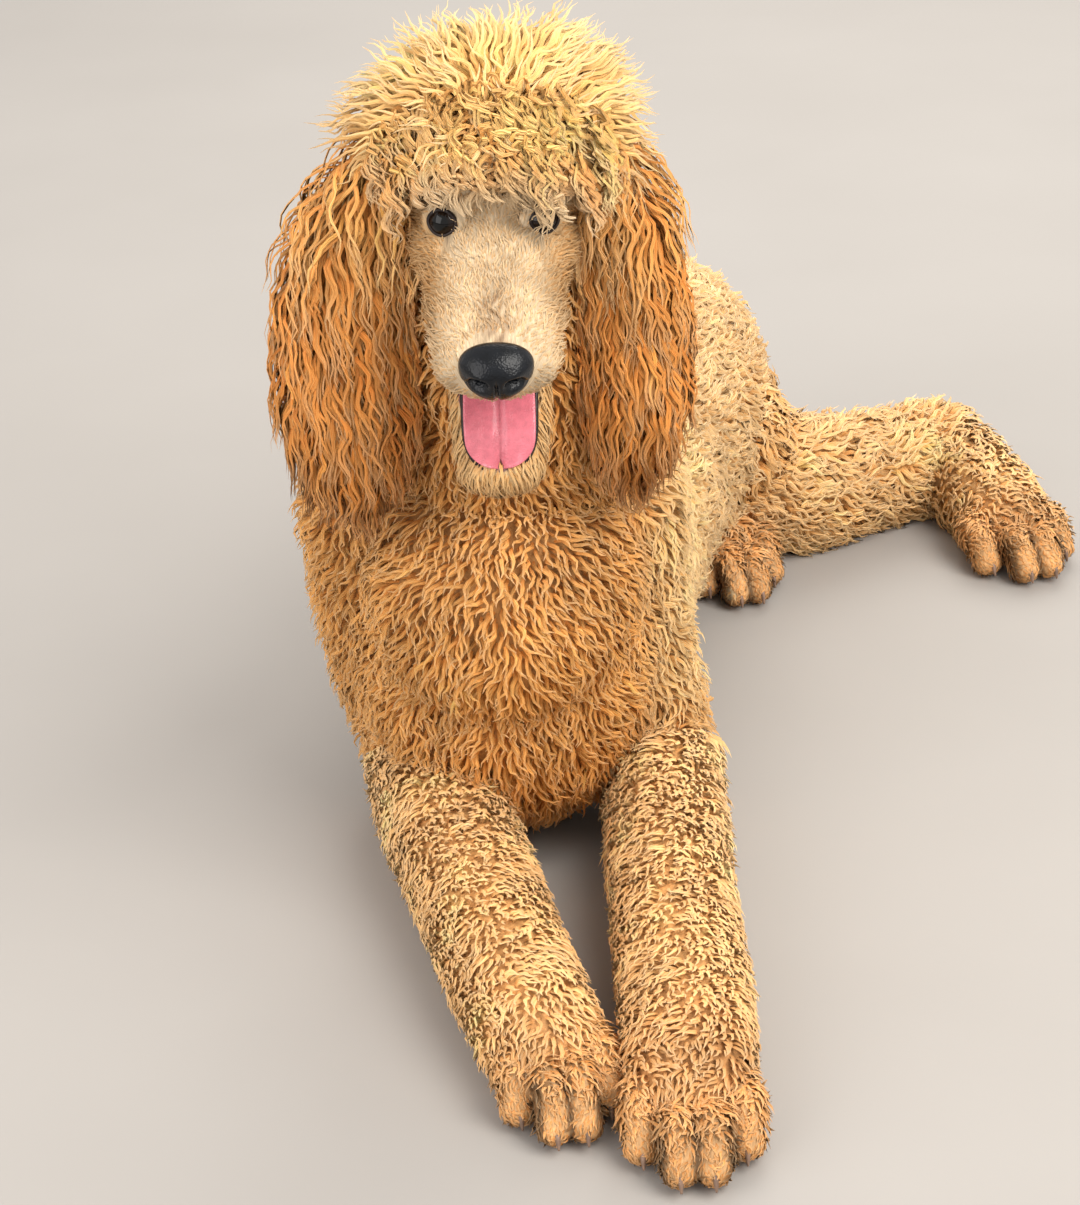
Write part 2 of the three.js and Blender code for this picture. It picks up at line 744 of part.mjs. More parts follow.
const [head, belowHead] = part(trunk, [-16, -132, 398], [0, -0.5, 0.87]);
const [neck, body] = part(belowHead, [-14, -90, 292], [0, -0.35, 0.94]);
const [hindLegLeft, torso] = part(body, [165, 285, 62], [0.93, 0.2, -0.2]);
const [rump, chest] = part(torso, [25, 150, 140], [-0.15, 1, 0]);
addNode('head', head, COLOURS.face);
addNode('neck', neck, COLOURS.coat);
addNode('chest', chest, COLOURS.coat);
addNode('rump', rump, COLOURS.coat);
addNode('lower_jaw', largest(lowerJaw(0).subtract(tongue(GAP))), COLOURS.face);
addNode('tongue', tongue(0), COLOURS.tongue);
addNode('nose', nose(), COLOURS.nose);
addNode('tail', largest(onFloor(tail())), COLOURS.coat);

const rightForeleg = foreleg('right').subtract(foreleg('left', GAP));
const [rightForepaw, rightForearm] = part(rightForeleg, [-24, -280, 35], [0.25, -0.97, 0]);
const [leftForepaw, leftForearm] = part(foreleg('left'), [73, -315, 35], [0, -1, 0]);
addNode('foreleg_right', largest(onFloor(rightForearm)), COLOURS.coat);
addNode('foreleg_left', largest(onFloor(leftForearm)), COLOURS.coat);
addFoot('forepaw_right', rightForepaw);
addFoot('forepaw_left', leftForepaw);

const [leftHindPaw, leftShank] = part(hindLegLeft, [300, 348, 42], [0.94, -0.35, 0]);
const [rightHindPaw, rightShank] = part(hindLeg('right'), [112, 288, 30], [0.93, -0.37, 0]);
addNode('hind_leg_left', largest(onFloor(leftShank)), COLOURS.coat);
addNode('hind_leg_right', largest(onFloor(rightShank)), COLOURS.coat);
addFoot('hind_paw_left', leftHindPaw);
addFoot('hind_paw_right', rightHindPaw);

const poodle = new THREE.Group();
for (const [name, solid, colour] of nodes) {
  const { vertProperties, triVerts } = solid.getMesh();
  const geometry = new THREE.BufferGeometry();
  geometry.setAttribute('position', new THREE.BufferAttribute(vertProperties, 3));
  geometry.setIndex(new THREE.BufferAttribute(triVerts, 1));
  geometry.computeVertexNormals();
  const material = new THREE.MeshStandardMaterial({ color: colour, roughness: 0.85, metalness: 0 });
  const mesh = new THREE.Mesh(geometry, material);
  mesh.name = name;
  poodle.add(mesh);
}

export default poodle;
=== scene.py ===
"""A young apricot standard poodle, lying with its head up: skin, curly coat, eyes, nose, tongue and claws.

Lengths in the tables are millimetres. A stage is [x, y, z, half width, half height]; +Z is up and the dog
faces -Y.
"""

import math

import bpy
import numpy as np
from mathutils import Matrix, Vector
from mathutils.bvhtree import BVHTree
from mathutils.kdtree import KDTree


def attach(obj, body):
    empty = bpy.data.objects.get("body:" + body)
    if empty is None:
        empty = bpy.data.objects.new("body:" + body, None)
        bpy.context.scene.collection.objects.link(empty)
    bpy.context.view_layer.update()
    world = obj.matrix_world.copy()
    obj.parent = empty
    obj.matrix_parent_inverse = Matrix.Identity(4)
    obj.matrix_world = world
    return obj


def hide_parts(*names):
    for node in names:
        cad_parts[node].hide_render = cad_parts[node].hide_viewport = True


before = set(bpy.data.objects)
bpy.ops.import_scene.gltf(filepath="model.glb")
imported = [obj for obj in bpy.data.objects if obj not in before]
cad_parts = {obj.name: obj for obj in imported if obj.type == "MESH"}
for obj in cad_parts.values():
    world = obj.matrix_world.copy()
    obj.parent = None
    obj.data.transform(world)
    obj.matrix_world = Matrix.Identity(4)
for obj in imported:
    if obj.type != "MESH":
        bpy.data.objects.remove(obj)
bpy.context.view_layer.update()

MM = 0.001
UP = (0.0, 0.0, 1.0)
FRONT = (0.0, -1.0, 0.0)
SIDES = {"left": 1, "right": -1}

# Where the head is, how far it is tipped down, and its eyes.
HEAD_AT = np.array((-18.5, -195.0, 440.0))
HEAD_PITCH = math.radians(23)
EYE_RADIUS = 11.0
EYE_AT = (24.0, -5.0, -2.0)
GAZE = (0.30, 0.80, 0.52)

# How deep the curls lie over the skin, the hair of the ears and that of the topknot.
CURL_DEPTH = 12.0
EAR_DEPTH = 13.0
TOPKNOT_DEPTH = 27.0
EAR_WAVE = 25.0
TOPKNOT_WAVE = 21.0
DOWN = np.array((0.0, 0.0, -1.0))

# How far a tuft is shaded as part of the coat's own surface, from 0 to 1.
SOFTNESS = 0.7

# Where the coat's pieces on the chest meet each other and those on the sides.
CHEST_END = -20
CHEST_MIDDLE = -18

TORSO = [
    [-20, -112, 204, 86, 92], [-16, -50, 161, 108, 149], [-4, 30, 144, 106, 154], [20, 130, 138, 102, 144],
    [45, 220, 122, 98, 128], [72, 300, 104, 96, 112], [92, 370, 94, 84, 98],
]
NECK = [[-8, -10, 200, 92, 96], [-15, -72, 262, 90, 88], [-18, -112, 330, 72, 66], [-18, -130, 400, 60, 58]]
UPPER_ARM = {
    "right": [[-92, -86, 232, 50, 50], [-88, -66, 145, 48, 50], [-76, -42, 62, 46, 48]],
    "left": [[40, -86, 232, 50, 50], [50, -78, 145, 42, 50], [66, -70, 62, 40, 48]],
}
FORELEG = {
    "right": [
        [-72, -50, 46, 42, 48], [-60, -130, 42, 41, 44], [-42, -205, 39, 39, 41],
        [-22, -285, 35, 38, 37], [-8, -330, 30, 37, 33], [-2, -352, 24, 34, 26],
    ],
    "left": [
        [70, -75, 46, 40, 48], [71, -150, 42, 38, 44], [71, -235, 39, 38, 41],
        [73, -315, 35, 39, 37], [72, -368, 30, 38, 33], [71, -392, 24, 35, 26],
    ],
}
THIGH = {
    "left": [[66, 375, 116, 62, 72], [106, 324, 92, 62, 68], [142, 290, 64, 52, 60]],
    "right": [[40, 360, 66, 60, 66], [4, 296, 56, 56, 58], [4, 236, 42, 44, 44]],
}
SHANK = {
    "left": [[142, 290, 58, 46, 56], [188, 294, 50, 44, 50], [240, 321, 44, 39, 44], [298, 350, 42, 36, 42]],
    "right": [[40, 250, 36, 36, 38], [76, 270, 34, 35, 36], [108, 288, 32, 34, 34]],
}
HIND_FOOT = {
    "left": [[302, 350, 40, 35, 40], [322, 308, 34, 36, 35], [335, 274, 28, 36, 30], [340, 256, 24, 33, 25]],
    "right": [[112, 290, 31, 33, 33], [126, 252, 28, 33, 29], [133, 230, 23, 30, 24]],
}
FORELEG_DEPTHS = [12, 9, 7, 7, 7, 6]
SHANK_DEPTHS = [12, 12, 11, 10]
FOOT_DEPTHS = [10, 9, 8, 6]
TAIL = [[86, 400, 108, 26, 28], [112, 446, 84, 26, 28], [142, 456, 66, 25, 27], [168, 444, 58, 22, 24]]
EAR = {
    "right": [
        [-66, -150, 468, 24, 30], [-90, -148, 420, 38, 32], [-101, -152, 360, 46, 32],
        [-101, -160, 310, 42, 30], [-97, -166, 284, 27, 22],
    ],
    "left": [
        [30, -150, 468, 24, 30], [48, -148, 420, 34, 32], [54, -152, 360, 37, 32],
        [55, -158, 310, 33, 30], [57, -162, 292, 22, 20],
    ],
}

# The head's stages are [to its left, forward from the eyes, up, half width, half height].
CRANIUM = [[0, -86, -10, 42, 30], [0, -60, 0, 51, 43], [0, -32, 2, 47, 41]]
CHEEK = [[0, -52, -30, 50, 26], [0, -20, -26, 44, 26]]
MUZZLE = [[0, -16, -21, 42, 25], [0, 20, -20, 39, 23], [0, 58, -19, 33, 21], [0, 86, -17, 28, 18]]
JAW = [[0, -34, -50, 31, 17], [0, 14, -72, 27, 14], [0, 54, -95, 24, 12], [0, 77, -109, 21, 12]]
TONGUE = [[0, 4, -54, 17, 4], [0, 44, -74, 18, 4], [0, 70, -87, 18, 4], [0, 82, -100, 16, 4]]
UPPER_LIP = [[34, 4, -40, 5, 5], [30, 48, -38, 5, 5], [19, 80, -35, 5, 5], [4, 90, -31, 5, 5]]
LOWER_LIP = [[25, 8, -57, 5, 5], [19.5, 44, -77, 5, 5], [16.5, 73, -95, 5, 5], [3, 86, -105, 5, 5]]
NOSE_AT = (0.0, 95.0, -8.0)
# The nose's half width, how far it stands ahead and back, and its half height.
NOSE_SIZE = (18.8, 16.5, 9.0, 14.8)
# Hollows that make up a nostril: [left, up, size, depth] from the middle of the nose.
NOSTRIL = [(8.6, 1.6, 3.2, 7.0), (11.2, 0.2, 2.4, 4.4), (13.6, -2.0, 2.0, 3.0), (15.4, -4.6, 1.6, 2.0)]
# The lids' rim in section: an angle past their edge, and millimetres over the eyeball.
LID_PROFILE = [
    (-0.02, 0.0), (-0.01, 0.4), (0.02, 0.7), (0.06, 0.9),
    (0.11, 0.8), (0.16, 0.3), (0.14, -0.2), (0.07, -0.5),
]
POUF_AT = (2.0, -58.0, 20.0)
POUF_RADII = (82.0, 66.0, 59.0)
BROW_AT = (0.0, -22.0, 44.0)

# Where each foot's toes fan out from, the way it points and the pitch of its toes.
FEET = {
    "forepaw_right": {"at": (4, -368), "heading": (0.15, -1), "pitch": 16},
    "forepaw_left": {"at": (72, -406), "heading": (0.02, -1), "pitch": 18},
    "hind_paw_left": {"at": (342, 244), "heading": (0.35, -1), "pitch": 19},
    "hind_paw_right": {"at": (137, 220), "heading": (0.3, -1), "pitch": 16},
}
TOE_RADIUS = 10.5
TOE_REACH = (8, 28, 28, 8)
CLAW_LENGTH = 9.0
CLAW_RADIUS = 3.2

# Linear colours of the coat by its part, between its dark roots, which are painted shade, and its pale tips,
# which are partly painted light.
# Painted shade: the chest is darker and redder than the back.
CHEST_SHADE_COLOUR = (0.80, 0.44, 0.15)
# Painted highlight: the top of the left shoulder, on the side towards the window light, is paler.
SHOULDER_HIGHLIGHT_COLOUR = (0.98, 0.72, 0.38)
FORELEG_COLOUR = (0.94, 0.59, 0.27)
PAW_COLOUR = (0.74, 0.42, 0.18)
BACK_COLOUR = (0.86, 0.62, 0.34)
# Painted shade: the thighs and tail are a little darker and redder than the back.
THIGH_SHADE_COLOUR = (0.85, 0.54, 0.24)
HIND_COLOUR = (0.92, 0.63, 0.32)
EAR_COLOUR = (0.80, 0.38, 0.11)
EAR_TOP_COLOUR = (0.92, 0.52, 0.19)
# The top of the head is paler and yellower than the fringe, partly as painted light.
TOPKNOT_COLOUR = (1.0, 0.63, 0.25)
FRINGE_COLOUR = (1.0, 0.54, 0.19)
FACE_COLOUR = (0.71, 0.54, 0.345)
# Painted shade: the sides of the face are darker, as between the face and the ears.
CHEEK_SHADE_COLOUR = (0.50, 0.30, 0.13)
BRIDGE_COLOUR = (0.25, 0.15, 0.08)
CHIN_COLOUR = (0.70, 0.46, 0.22)
# The colour that tips are paled towards, partly as painted light on the coat's outside.
PALE_TIP = (1.0, 0.78, 0.50, 1)
LIP_COLOUR = (0.020, 0.012, 0.010)
MOUTH_COLOUR = (0.16, 0.045, 0.04)
NOSE_COLOUR = (0.003, 0.004, 0.006)
TONGUE_COLOUR = (0.64, 0.150, 0.195)
CLAW_COLOUR = (0.21, 0.13, 0.09)
FLOOR_COLOURS = ((0.33, 0.31, 0.29, 1), (0.38, 0.36, 0.34, 1))

# The eye's colours at shares of the way from the middle of its pupil out to its white.
EYE_RINGS = [
    (0.0, (0.002, 0.002, 0.002)), (0.26, (0.002, 0.002, 0.002)), (0.31, (0.010, 0.005, 0.003)),
    (0.52, (0.016, 0.007, 0.004)), (0.60, (0.004, 0.003, 0.002)), (0.70, (0.020, 0.013, 0.010)),
]

# How wide each tuft's patch is on the OFBake map.
PATCH_SIZE = 0.003


def unit(vectors):
    return vectors / np.maximum(np.linalg.norm(vectors, axis=-1, keepdims=True), 1e-12)


def dot(a, b):
    return (a * b).sum(-1, keepdims=True)


def ease(value, low, high):
    """0 below low, 1 above high and a smooth rise between them."""
    share = np.clip((value - low) / (high - low), 0, 1)
    return share * share * (3 - 2 * share)


def ripple(points, scale, seed):
    """Smooth noise from about -1 to 1 over points in metres, scale millimetres from crest to crest."""
    draw = np.random.default_rng(seed)
    waves = unit(draw.normal(size=(10, 3))) * (2 * np.pi / (scale * MM)) * draw.uniform(0.7, 1.4, (10, 1))
    return np.sin(points @ waves.T + draw.uniform(0, 2 * np.pi, 10)).sum(1) / 3.2


def in_head(points):
    """Places given as [left, forward, up] in the head, in the frame's millimetres."""
    left, forward, up = np.moveaxis(np.asarray(points, float), -1, 0)
    cos, sin = math.cos(HEAD_PITCH), math.sin(HEAD_PITCH)
    return np.stack([left, -forward * cos - up * sin, -forward * sin + up * cos], -1) + HEAD_AT


def to_head(points):
    """The frame's metres as [left, forward, up] in the head, in millimetres."""
    x, y, z = np.moveaxis(points / MM - HEAD_AT, -1, 0)
    cos, sin = math.cos(HEAD_PITCH), math.sin(HEAD_PITCH)
    return np.stack([x, -y * cos - z * sin, -y * sin + z * cos], -1)


HEAD_ZERO = in_head((0, 0, 0))
HEAD_UP = tuple(in_head((0, 0, 1)) - HEAD_ZERO)


def head_stages(stages):
    """Stages in the head's own directions as stages in the frame's."""
    return [[*in_head(stage[:3]), *stage[3:]] for stage in stages]


def lying_core(stages, depths=()):
    """The form under the curls, which keeps its underside, where the dog lies on it."""
    found = []
    for k, (x, y, z, width, height) in enumerate(stages):
        depth = depths[k] if k < len(depths) else CURL_DEPTH
        found.append([x, y, z - depth / 2, width - depth, height - depth / 2])
    return found


def core(stages, depth, flat=0):
    return [[x, y, z, width - depth, height - depth - flat] for x, y, z, width, height in stages]


def spline(points, t):
    """A smooth line through the points, at each t from 0 to 1."""
    points = np.asarray(points, float)
    last = len(points) - 1
    held = np.vstack([2 * points[0] - points[1], points, 2 * points[-1] - points[-2]])
    place = np.clip(t, 0, 1) * last
    k = np.minimum(place.astype(int), last - 1)
    s = (place - k)[:, None]
    p0, p1, p2, p3 = (held[k + i] for i in range(4))
    spans = (p1 - p0, p2 - p1, p3 - p2)
    d0, d1, d2 = (np.sqrt(np.linalg.norm(span, axis=1, keepdims=True)) for span in spans)
    d1 = np.where(d1 < 1e-4, 1, d1)
    d0 = np.where(d0 < 1e-4, d1, d0)
    d2 = np.where(d2 < 1e-4, d1, d2)
    start = ((p1 - p0) / d0 - (p2 - p0) / (d0 + d1) + (p2 - p1) / d1) * d1
    end = ((p2 - p1) / d1 - (p3 - p1) / (d1 + d2) + (p3 - p2) / d2) * d1
    return p1 + s * (start + s * (3 * (p2 - p1) - 2 * start - end + s * (2 * (p1 - p2) + start + end)))


class Form:
    """A rounded form through its stages.

    Along runs from 0 to 1 on its line, and on to -1 and 2 over its ends. CAP is how far the ends bulge.
    """

    STEPS = 64
    CAP = 0.8

    def __init__(self, stages, up=UP):
        rows = np.array(stages, float)
        t = np.linspace(0, 1, self.STEPS + 1)
        self.centres = spline(rows[:, :3], t) * MM
        self.radii = spline(rows[:, 3:5], t) * MM
        self.ahead = unit(np.gradient(self.centres, axis=0))
        self.side = unit(np.cross(self.ahead, np.array(up)))
        self.over = unit(np.cross(self.side, self.ahead))

    def at(self, values, along):
        """What the values on the form's line are at each place along it."""
        place = np.clip(along, 0, 1) * self.STEPS
        k = np.minimum(place.astype(int), self.STEPS - 1)
        share = (place - k)[..., None]
        return values[k] * (1 - share) + values[k + 1] * share

    def surface(self, along, spin):
        """Places on the form's surface, spin being the angle round its line."""
        radius = self.at(self.radii, along)
        past = np.where(along < 0, along, np.maximum(along - 1, 0))
        angle = (1 - np.abs(past)) * np.pi / 2
        narrowed = np.sin(angle)[..., None]
        reach = radius.min(-1) * self.CAP * np.cos(angle) * np.sign(past)
        return (
            self.at(self.centres, along)
            + self.at(self.ahead, along) * reach[..., None]
            - self.at(self.side, along) * np.cos(spin)[..., None] * radius[..., :1] * narrowed
            + self.at(self.over, along) * np.sin(spin)[..., None] * radius[..., 1:] * narrowed
        )

    def shell(self, sides, rows, caps):
        """Points and faces of the form's closed surface."""
        past = np.sin(np.linspace(0, np.pi / 2, caps + 1)[1:])
        along = np.concatenate([-past[::-1][1:], np.linspace(0, 1, rows + 1), 1 + past[:-1]])
        spin = np.arange(sides) * 2 * np.pi / sides
        rings = self.surface(np.repeat(along[:, None], sides, 1), np.tile(spin, (len(along), 1)))
        ends = self.surface(np.array([-1.0, 2.0]), np.zeros(2))
        return np.vstack([rings.reshape(-1, 3), ends]), closed_faces(len(along), sides)

    def place(self, points):
        """Along, spin and the distance outside the surface, for points in metres."""
        best = np.full(len(points), np.inf)
        k = np.zeros(len(points), int)
        for i in range(0, self.STEPS + 1, 2):
            away = ((points - self.centres[i]) ** 2).sum(1)
            k = np.where(away < best, i, k)
            best = np.minimum(away, best)
        off = points - self.centres[k]
        ahead = (off * self.ahead[k]).sum(1)
        width, height = self.radii[k].T
        x = -(off * self.side[k]).sum(1) / width
        y = (off * self.over[k]).sum(1) / height
        length = np.linalg.norm(np.diff(self.centres, axis=0), axis=1).sum()
        along = k / self.STEPS + ahead / length
        past = np.where(along < 0, -along, np.maximum(along - 1, 0)) * length
        past = past / (np.minimum(width, height) * self.CAP)
        level = np.sqrt(x * x + y * y + past * past)
        mean = np.hypot(x * width, y * height) / np.maximum(np.hypot(x, y), 1e-9)
        along = np.where(along < 0, -np.clip(past, 0, 1), np.where(along > 1, 1 + np.clip(past, 0, 1), along))
        return along, np.arctan2(y, x), (level - 1) * mean


def closed_faces(rows, sides):
    """Faces between rows of points that go round, and fans to the two end points that follow them."""
    faces = [
        (r * sides + k, r * sides + (k + 1) % sides, (r + 1) * sides + (k + 1) % sides, (r + 1) * sides + k)
        for r in range(rows - 1)
        for k in range(sides)
    ]
    end, low = rows * sides, (rows - 1) * sides
    faces += [(k, end, (k + 1) % sides) for k in range(sides)]
    faces += [(low + (k + 1) % sides, end + 1, low + k) for k in range(sides)]
    return faces


def ball_angles(rows, sides):
    """The angle from the pole, and the turn about it, of the points on a ball's rings."""
    polar = np.linspace(0, np.pi, rows + 1)[1:-1]
    turn = np.arange(sides) * 2 * np.pi / sides
    return np.repeat(polar[:, None], sides, 1), np.tile(turn, (rows - 1, 1))


def toe_forms(foot):
    """The four toes of a foot and their claws, as stages."""
    at, pitch = np.array(FEET[foot]["at"], float), FEET[foot]["pitch"]
    ahead = np.array(FEET[foot]["heading"], float)
    ahead /= np.linalg.norm(ahead)
    across = np.array((-ahead[1], ahead[0]))
    toes, claws = [], []
    for index, reach in enumerate(TOE_REACH):
        def stage(forward, up, radius, spread=1.0):
            x, y = at + ahead * forward + across * (index - 1.5) * pitch * spread
            return [x, y, up, radius, radius]
        toes.append([
            stage(reach - 38, 22, TOE_RADIUS, 0.85),
            stage(reach - 18, 25, TOE_RADIUS - 1),
            stage(reach - 8, 21, TOE_RADIUS - 1.5),
            stage(reach, 11, TOE_RADIUS - 1),
        ])
        claws.append([
            stage(reach + 2, 14, CLAW_RADIUS),
            stage(reach + 3 + CLAW_LENGTH / 2, 12, CLAW_RADIUS * 0.8),
            stage(reach + 2 + CLAW_LENGTH, 6, CLAW_RADIUS * 0.3),
        ])
    return toes, claws


BODY_FORMS = {"torso": Form(lying_core(TORSO)), "neck": Form(core(NECK, CURL_DEPTH))}
for side in SIDES:
    BODY_FORMS[f"arm_{side}"] = Form(core(UPPER_ARM[side], CURL_DEPTH), FRONT)
    BODY_FORMS[f"foreleg_{side}"] = Form(lying_core(FORELEG[side], FORELEG_DEPTHS))
    BODY_FORMS[f"thigh_{side}"] = Form(lying_core(THIGH[side]))
    BODY_FORMS[f"shank_{side}"] = Form(lying_core(SHANK[side], SHANK_DEPTHS))
    BODY_FORMS[f"foot_{side}"] = Form(lying_core(HIND_FOOT[side], FOOT_DEPTHS))
    BODY_FORMS[f"ear_{side}"] = Form(core(EAR[side], EAR_DEPTH, 3), FRONT)
BODY_FORMS["tail"] = Form(core(TAIL, CURL_DEPTH))
HEAD_FORMS = {
    "cranium": Form(head_stages(CRANIUM), HEAD_UP),
    "cheek": Form(head_stages(CHEEK), HEAD_UP),
    "muzzle": Form(head_stages(MUZZLE), HEAD_UP),
    "jaw": Form(head_stages(JAW), HEAD_UP),
}


def piece(name, points, faces):
    """A smooth mesh object from points in metres and faces."""
    mesh = bpy.data.meshes.new(name)
    mesh.from_pydata(np.asarray(points, float).tolist(), [], [tuple(map(int, f)) for f in faces])
    mesh.validate()
    mesh.polygons.foreach_set("use_smooth", np.ones(len(mesh.polygons), bool))
    made = bpy.data.objects.new(name, mesh)
    bpy.context.scene.collection.objects.link(made)
    return made


def set_attribute(mesh, name, kind, key, values):
    """Gives each point of a mesh its value."""
    data = mesh.attributes.new(name, kind, "POINT").data
    data.foreach_set(key, np.ascontiguousarray(values, np.float32).ravel())


def joined(shells):
    """Several shells' points and lists of faces as one."""
    starts = np.cumsum([0] + [len(points) for points, _ in shells]).tolist()
    faces = [tuple(i + start for i in face) for (_, shell), start in zip(shells, starts) for face in shell]
    return np.vstack([points for points, _ in shells]), faces


def joined_arrays(parts):
    """Several parts' points and arrays of four-cornered faces as one."""
    starts = np.cumsum([0] + [len(points) for points, _ in parts])
    faces = [part + start for (_, part), start in zip(parts, starts)]
    return np.vstack([points for points, _ in parts]), np.vstack(faces)


def ellipsoid(centre, radii, sides, rows):
    """A shell about a centre in the head."""
    polar, turn = ball_angles(rows, sides)
    rings = np.stack([np.sin(polar) * np.cos(turn), np.sin(polar) * np.sin(turn), -np.cos(polar)], -1)
    ball = np.vstack([rings.reshape(-1, 3), [[0, 0, -1], [0, 0, 1]]])
    return in_head(np.array(centre) + ball * np.array(radii)) * MM, closed_faces(rows - 1, sides)


def fused(shells, voxel):
    """One closed surface round overlapping shells: its points and its four-cornered faces."""
    lump = piece("lump", *joined(shells))
    fuse = lump.modifiers.new("fuse", "REMESH")
    fuse.mode = "VOXEL"
    fuse.voxel_size = voxel * MM
    mesh = bpy.data.meshes.new_from_object(lump.evaluated_get(bpy.context.evaluated_depsgraph_get()))
    points = np.empty(len(mesh.vertices) * 3)
    mesh.vertices.foreach_get("co", points)
    corners = np.empty(len(mesh.loops), int)
    mesh.loops.foreach_get("vertex_index", corners)
    bpy.data.objects.remove(lump)
    bpy.data.meshes.remove(mesh)
    return points.reshape(-1, 3), corners.reshape(-1, 4)


def smoothed(points, faces, rounds):
    """In each round, each point moves half of the way towards the middle of its neighbours."""
    ends = np.vstack([faces[:, [i, (i + 1) % 4]] for i in range(4)])
    near = np.bincount(ends[:, 0], minlength=len(points))[:, None]
    near = near + np.bincount(ends[:, 1], minlength=len(points))[:, None]
    for _ in range(rounds):
        middle = np.zeros_like(points)
        for axis in range(3):
            middle[:, axis] += np.bincount(ends[:, 0], points[ends[:, 1], axis], len(points))
            middle[:, axis] += np.bincount(ends[:, 1], points[ends[:, 0], axis], len(points))
        points = points + (middle / near - points) * 0.5
    return points


def normals_of(points, faces):
    """A smooth normal at each point of a surface."""
    corners = points[faces]
    flat = np.cross(corners[:, 2] - corners[:, 0], corners[:, 3] - corners[:, 1])
    found = np.zeros_like(points)
    for k in range(4):
        for axis in range(3):
            found[:, axis] += np.bincount(faces[:, k], flat[:, axis], len(points))
    return unit(found)


# Strokes that model the head: [left, forward, up], how wide the stroke is, and how it moves the skin.
HEAD_STROKES = [
    ((20, -4, 24), 13, (2, 5, 3)),
    ((44, -18, 6), 12, (3, 3, 1)),
    ((36, -8, -16), 13, (3, 4, 1)),
    ((14, 4, -4), 9, (-1, -3, -1)),
    ((35, 22, -16), 15, (-4, 0, 0)),
    ((25, 78, -24), 13, (3, 2, -2)),
    ((36, 0, -44), 9, (3, 1, 0)),
]
MIDDLE_STROKES = [
    ((0, 6, 16), 14, (0, -2, -2)),
    ((0, 46, 6), 20, (0, 0, -1.5)),
    ((0, 74, -98), 12, (0, 3, -2)),
]


def lid_opening(turn):
    """How far from the gaze the lids' edge is, as an angle, at each turn round the eye."""
    pointed = 1 + 0.12 * np.cos(turn) ** 8
    return 1 / np.sqrt((np.cos(turn) / 0.60) ** 2 + (np.sin(turn) / 0.58) ** 2) * pointed


def eye_axes(side):
    """The eye's own directions in the head: outwards, along the gaze and up."""
    gaze = unit(np.array((side * GAZE[0], GAZE[1], GAZE[2])))
    outward = unit(np.cross(gaze, np.array((0, -0.12, 1.0)))) * side
    upward = np.cross(outward, gaze) * side
    return outward, gaze, upward


def about_eye(place, side):
    """Places in the head from an eye's centre: the way, the angle from its gaze and the lids' edge there."""
    outward, gaze, upward = eye_axes(side)
    off = place - np.array(EYE_AT) * (side, 1, 1)
    a, b, c = off @ outward, off @ upward, off @ gaze
    return off, np.arctan2(np.hypot(a, b), c), lid_opening(np.arctan2(b, a))


def past_lids(place, side):
    """How far past the lids' edge places in the head are, as an angle about the eye; large far from it."""
    off, angle, edge = about_eye(place, side)
    return np.where(np.linalg.norm(off, axis=1) < 2 * EYE_RADIUS, angle - edge, 9.0)


def sculpt_head(points):
    """Brow, sockets, cheeks and muzzle, and the hole between the lids."""
    place = to_head(points)
    for side in SIDES.values():
        for at, wide, move in HEAD_STROKES:
            near = np.exp(-((place - np.array(at) * (side, 1, 1)) ** 2).sum(1) / wide**2)[:, None]
            place = place + near * np.array(move) * (side, 1, 1)
    for at, wide, move in MIDDLE_STROKES:
        near = np.exp(-((place - np.array(at)) ** 2).sum(1) / wide**2)[:, None]
        place = place + near * np.array(move)
    for side in SIDES.values():
        off, angle, edge = about_eye(place, side)
        away = np.linalg.norm(off, axis=1)
        outside = ease(angle, edge + 0.01, edge + 0.14)
        lid = EYE_RADIUS + 0.9 + 1.6 * ease(angle, edge + 0.1, edge + 0.5)
        wanted = (EYE_RADIUS - 2) * (1 - outside) + lid * outside
        near = (1 - ease(angle, 1.15, 1.75)) * (away < 24)
        height = np.where(outside < 1, wanted, np.maximum(away, wanted))
        place = place + off / away[:, None] * ((height - away) * near)[:, None]
    return in_head(place) * MM


def make_skin_parts():
    """The skin's three stretches, fine on the head and feet: points, faces and which stretch each is."""
    body = fused([form.shell(28, 40, 8) for form in BODY_FORMS.values()], 4.0)
    body = (smoothed(*body, 6), body[1])
    head_shells = [form.shell(40, 40, 12) for form in HEAD_FORMS.values()]
    inner = np.array(POUF_RADII) - TOPKNOT_DEPTH
    head_shells.append(ellipsoid(POUF_AT, inner, 40, 24))
    head = fused(head_shells, 1.5)
    head = (sculpt_head(smoothed(*head, 14)), head[1])
    feet = []
    for foot in FEET:
        toes = toe_forms(foot)[0]
        middle = np.mean(toes[1:3], axis=0)[:3]
        web = [[x, y, z - 2, radius * 1.1, radius * 0.8] for x, y, z, radius, _ in middle]
        shells = [Form(toe).shell(20, 16, 6) for toe in toes]
        shells.append(Form(web).shell(20, 12, 6))
        part = fused(shells, 1.5)
        feet.append((smoothed(*part, 3), part[1]))
    return {"body": body, "head": head, "feet": joined_arrays(feet)}


def on_floor(points):
    """What lies on the floor is flat there."""
    points = points.copy()
    points[:, 2] = np.maximum(points[:, 2], 0.0004)
    return points


skin_parts = {name: (on_floor(points), faces) for name, (points, faces) in make_skin_parts().items()}
print("skin faces", {name: len(faces) for name, (points, faces) in skin_parts.items()})


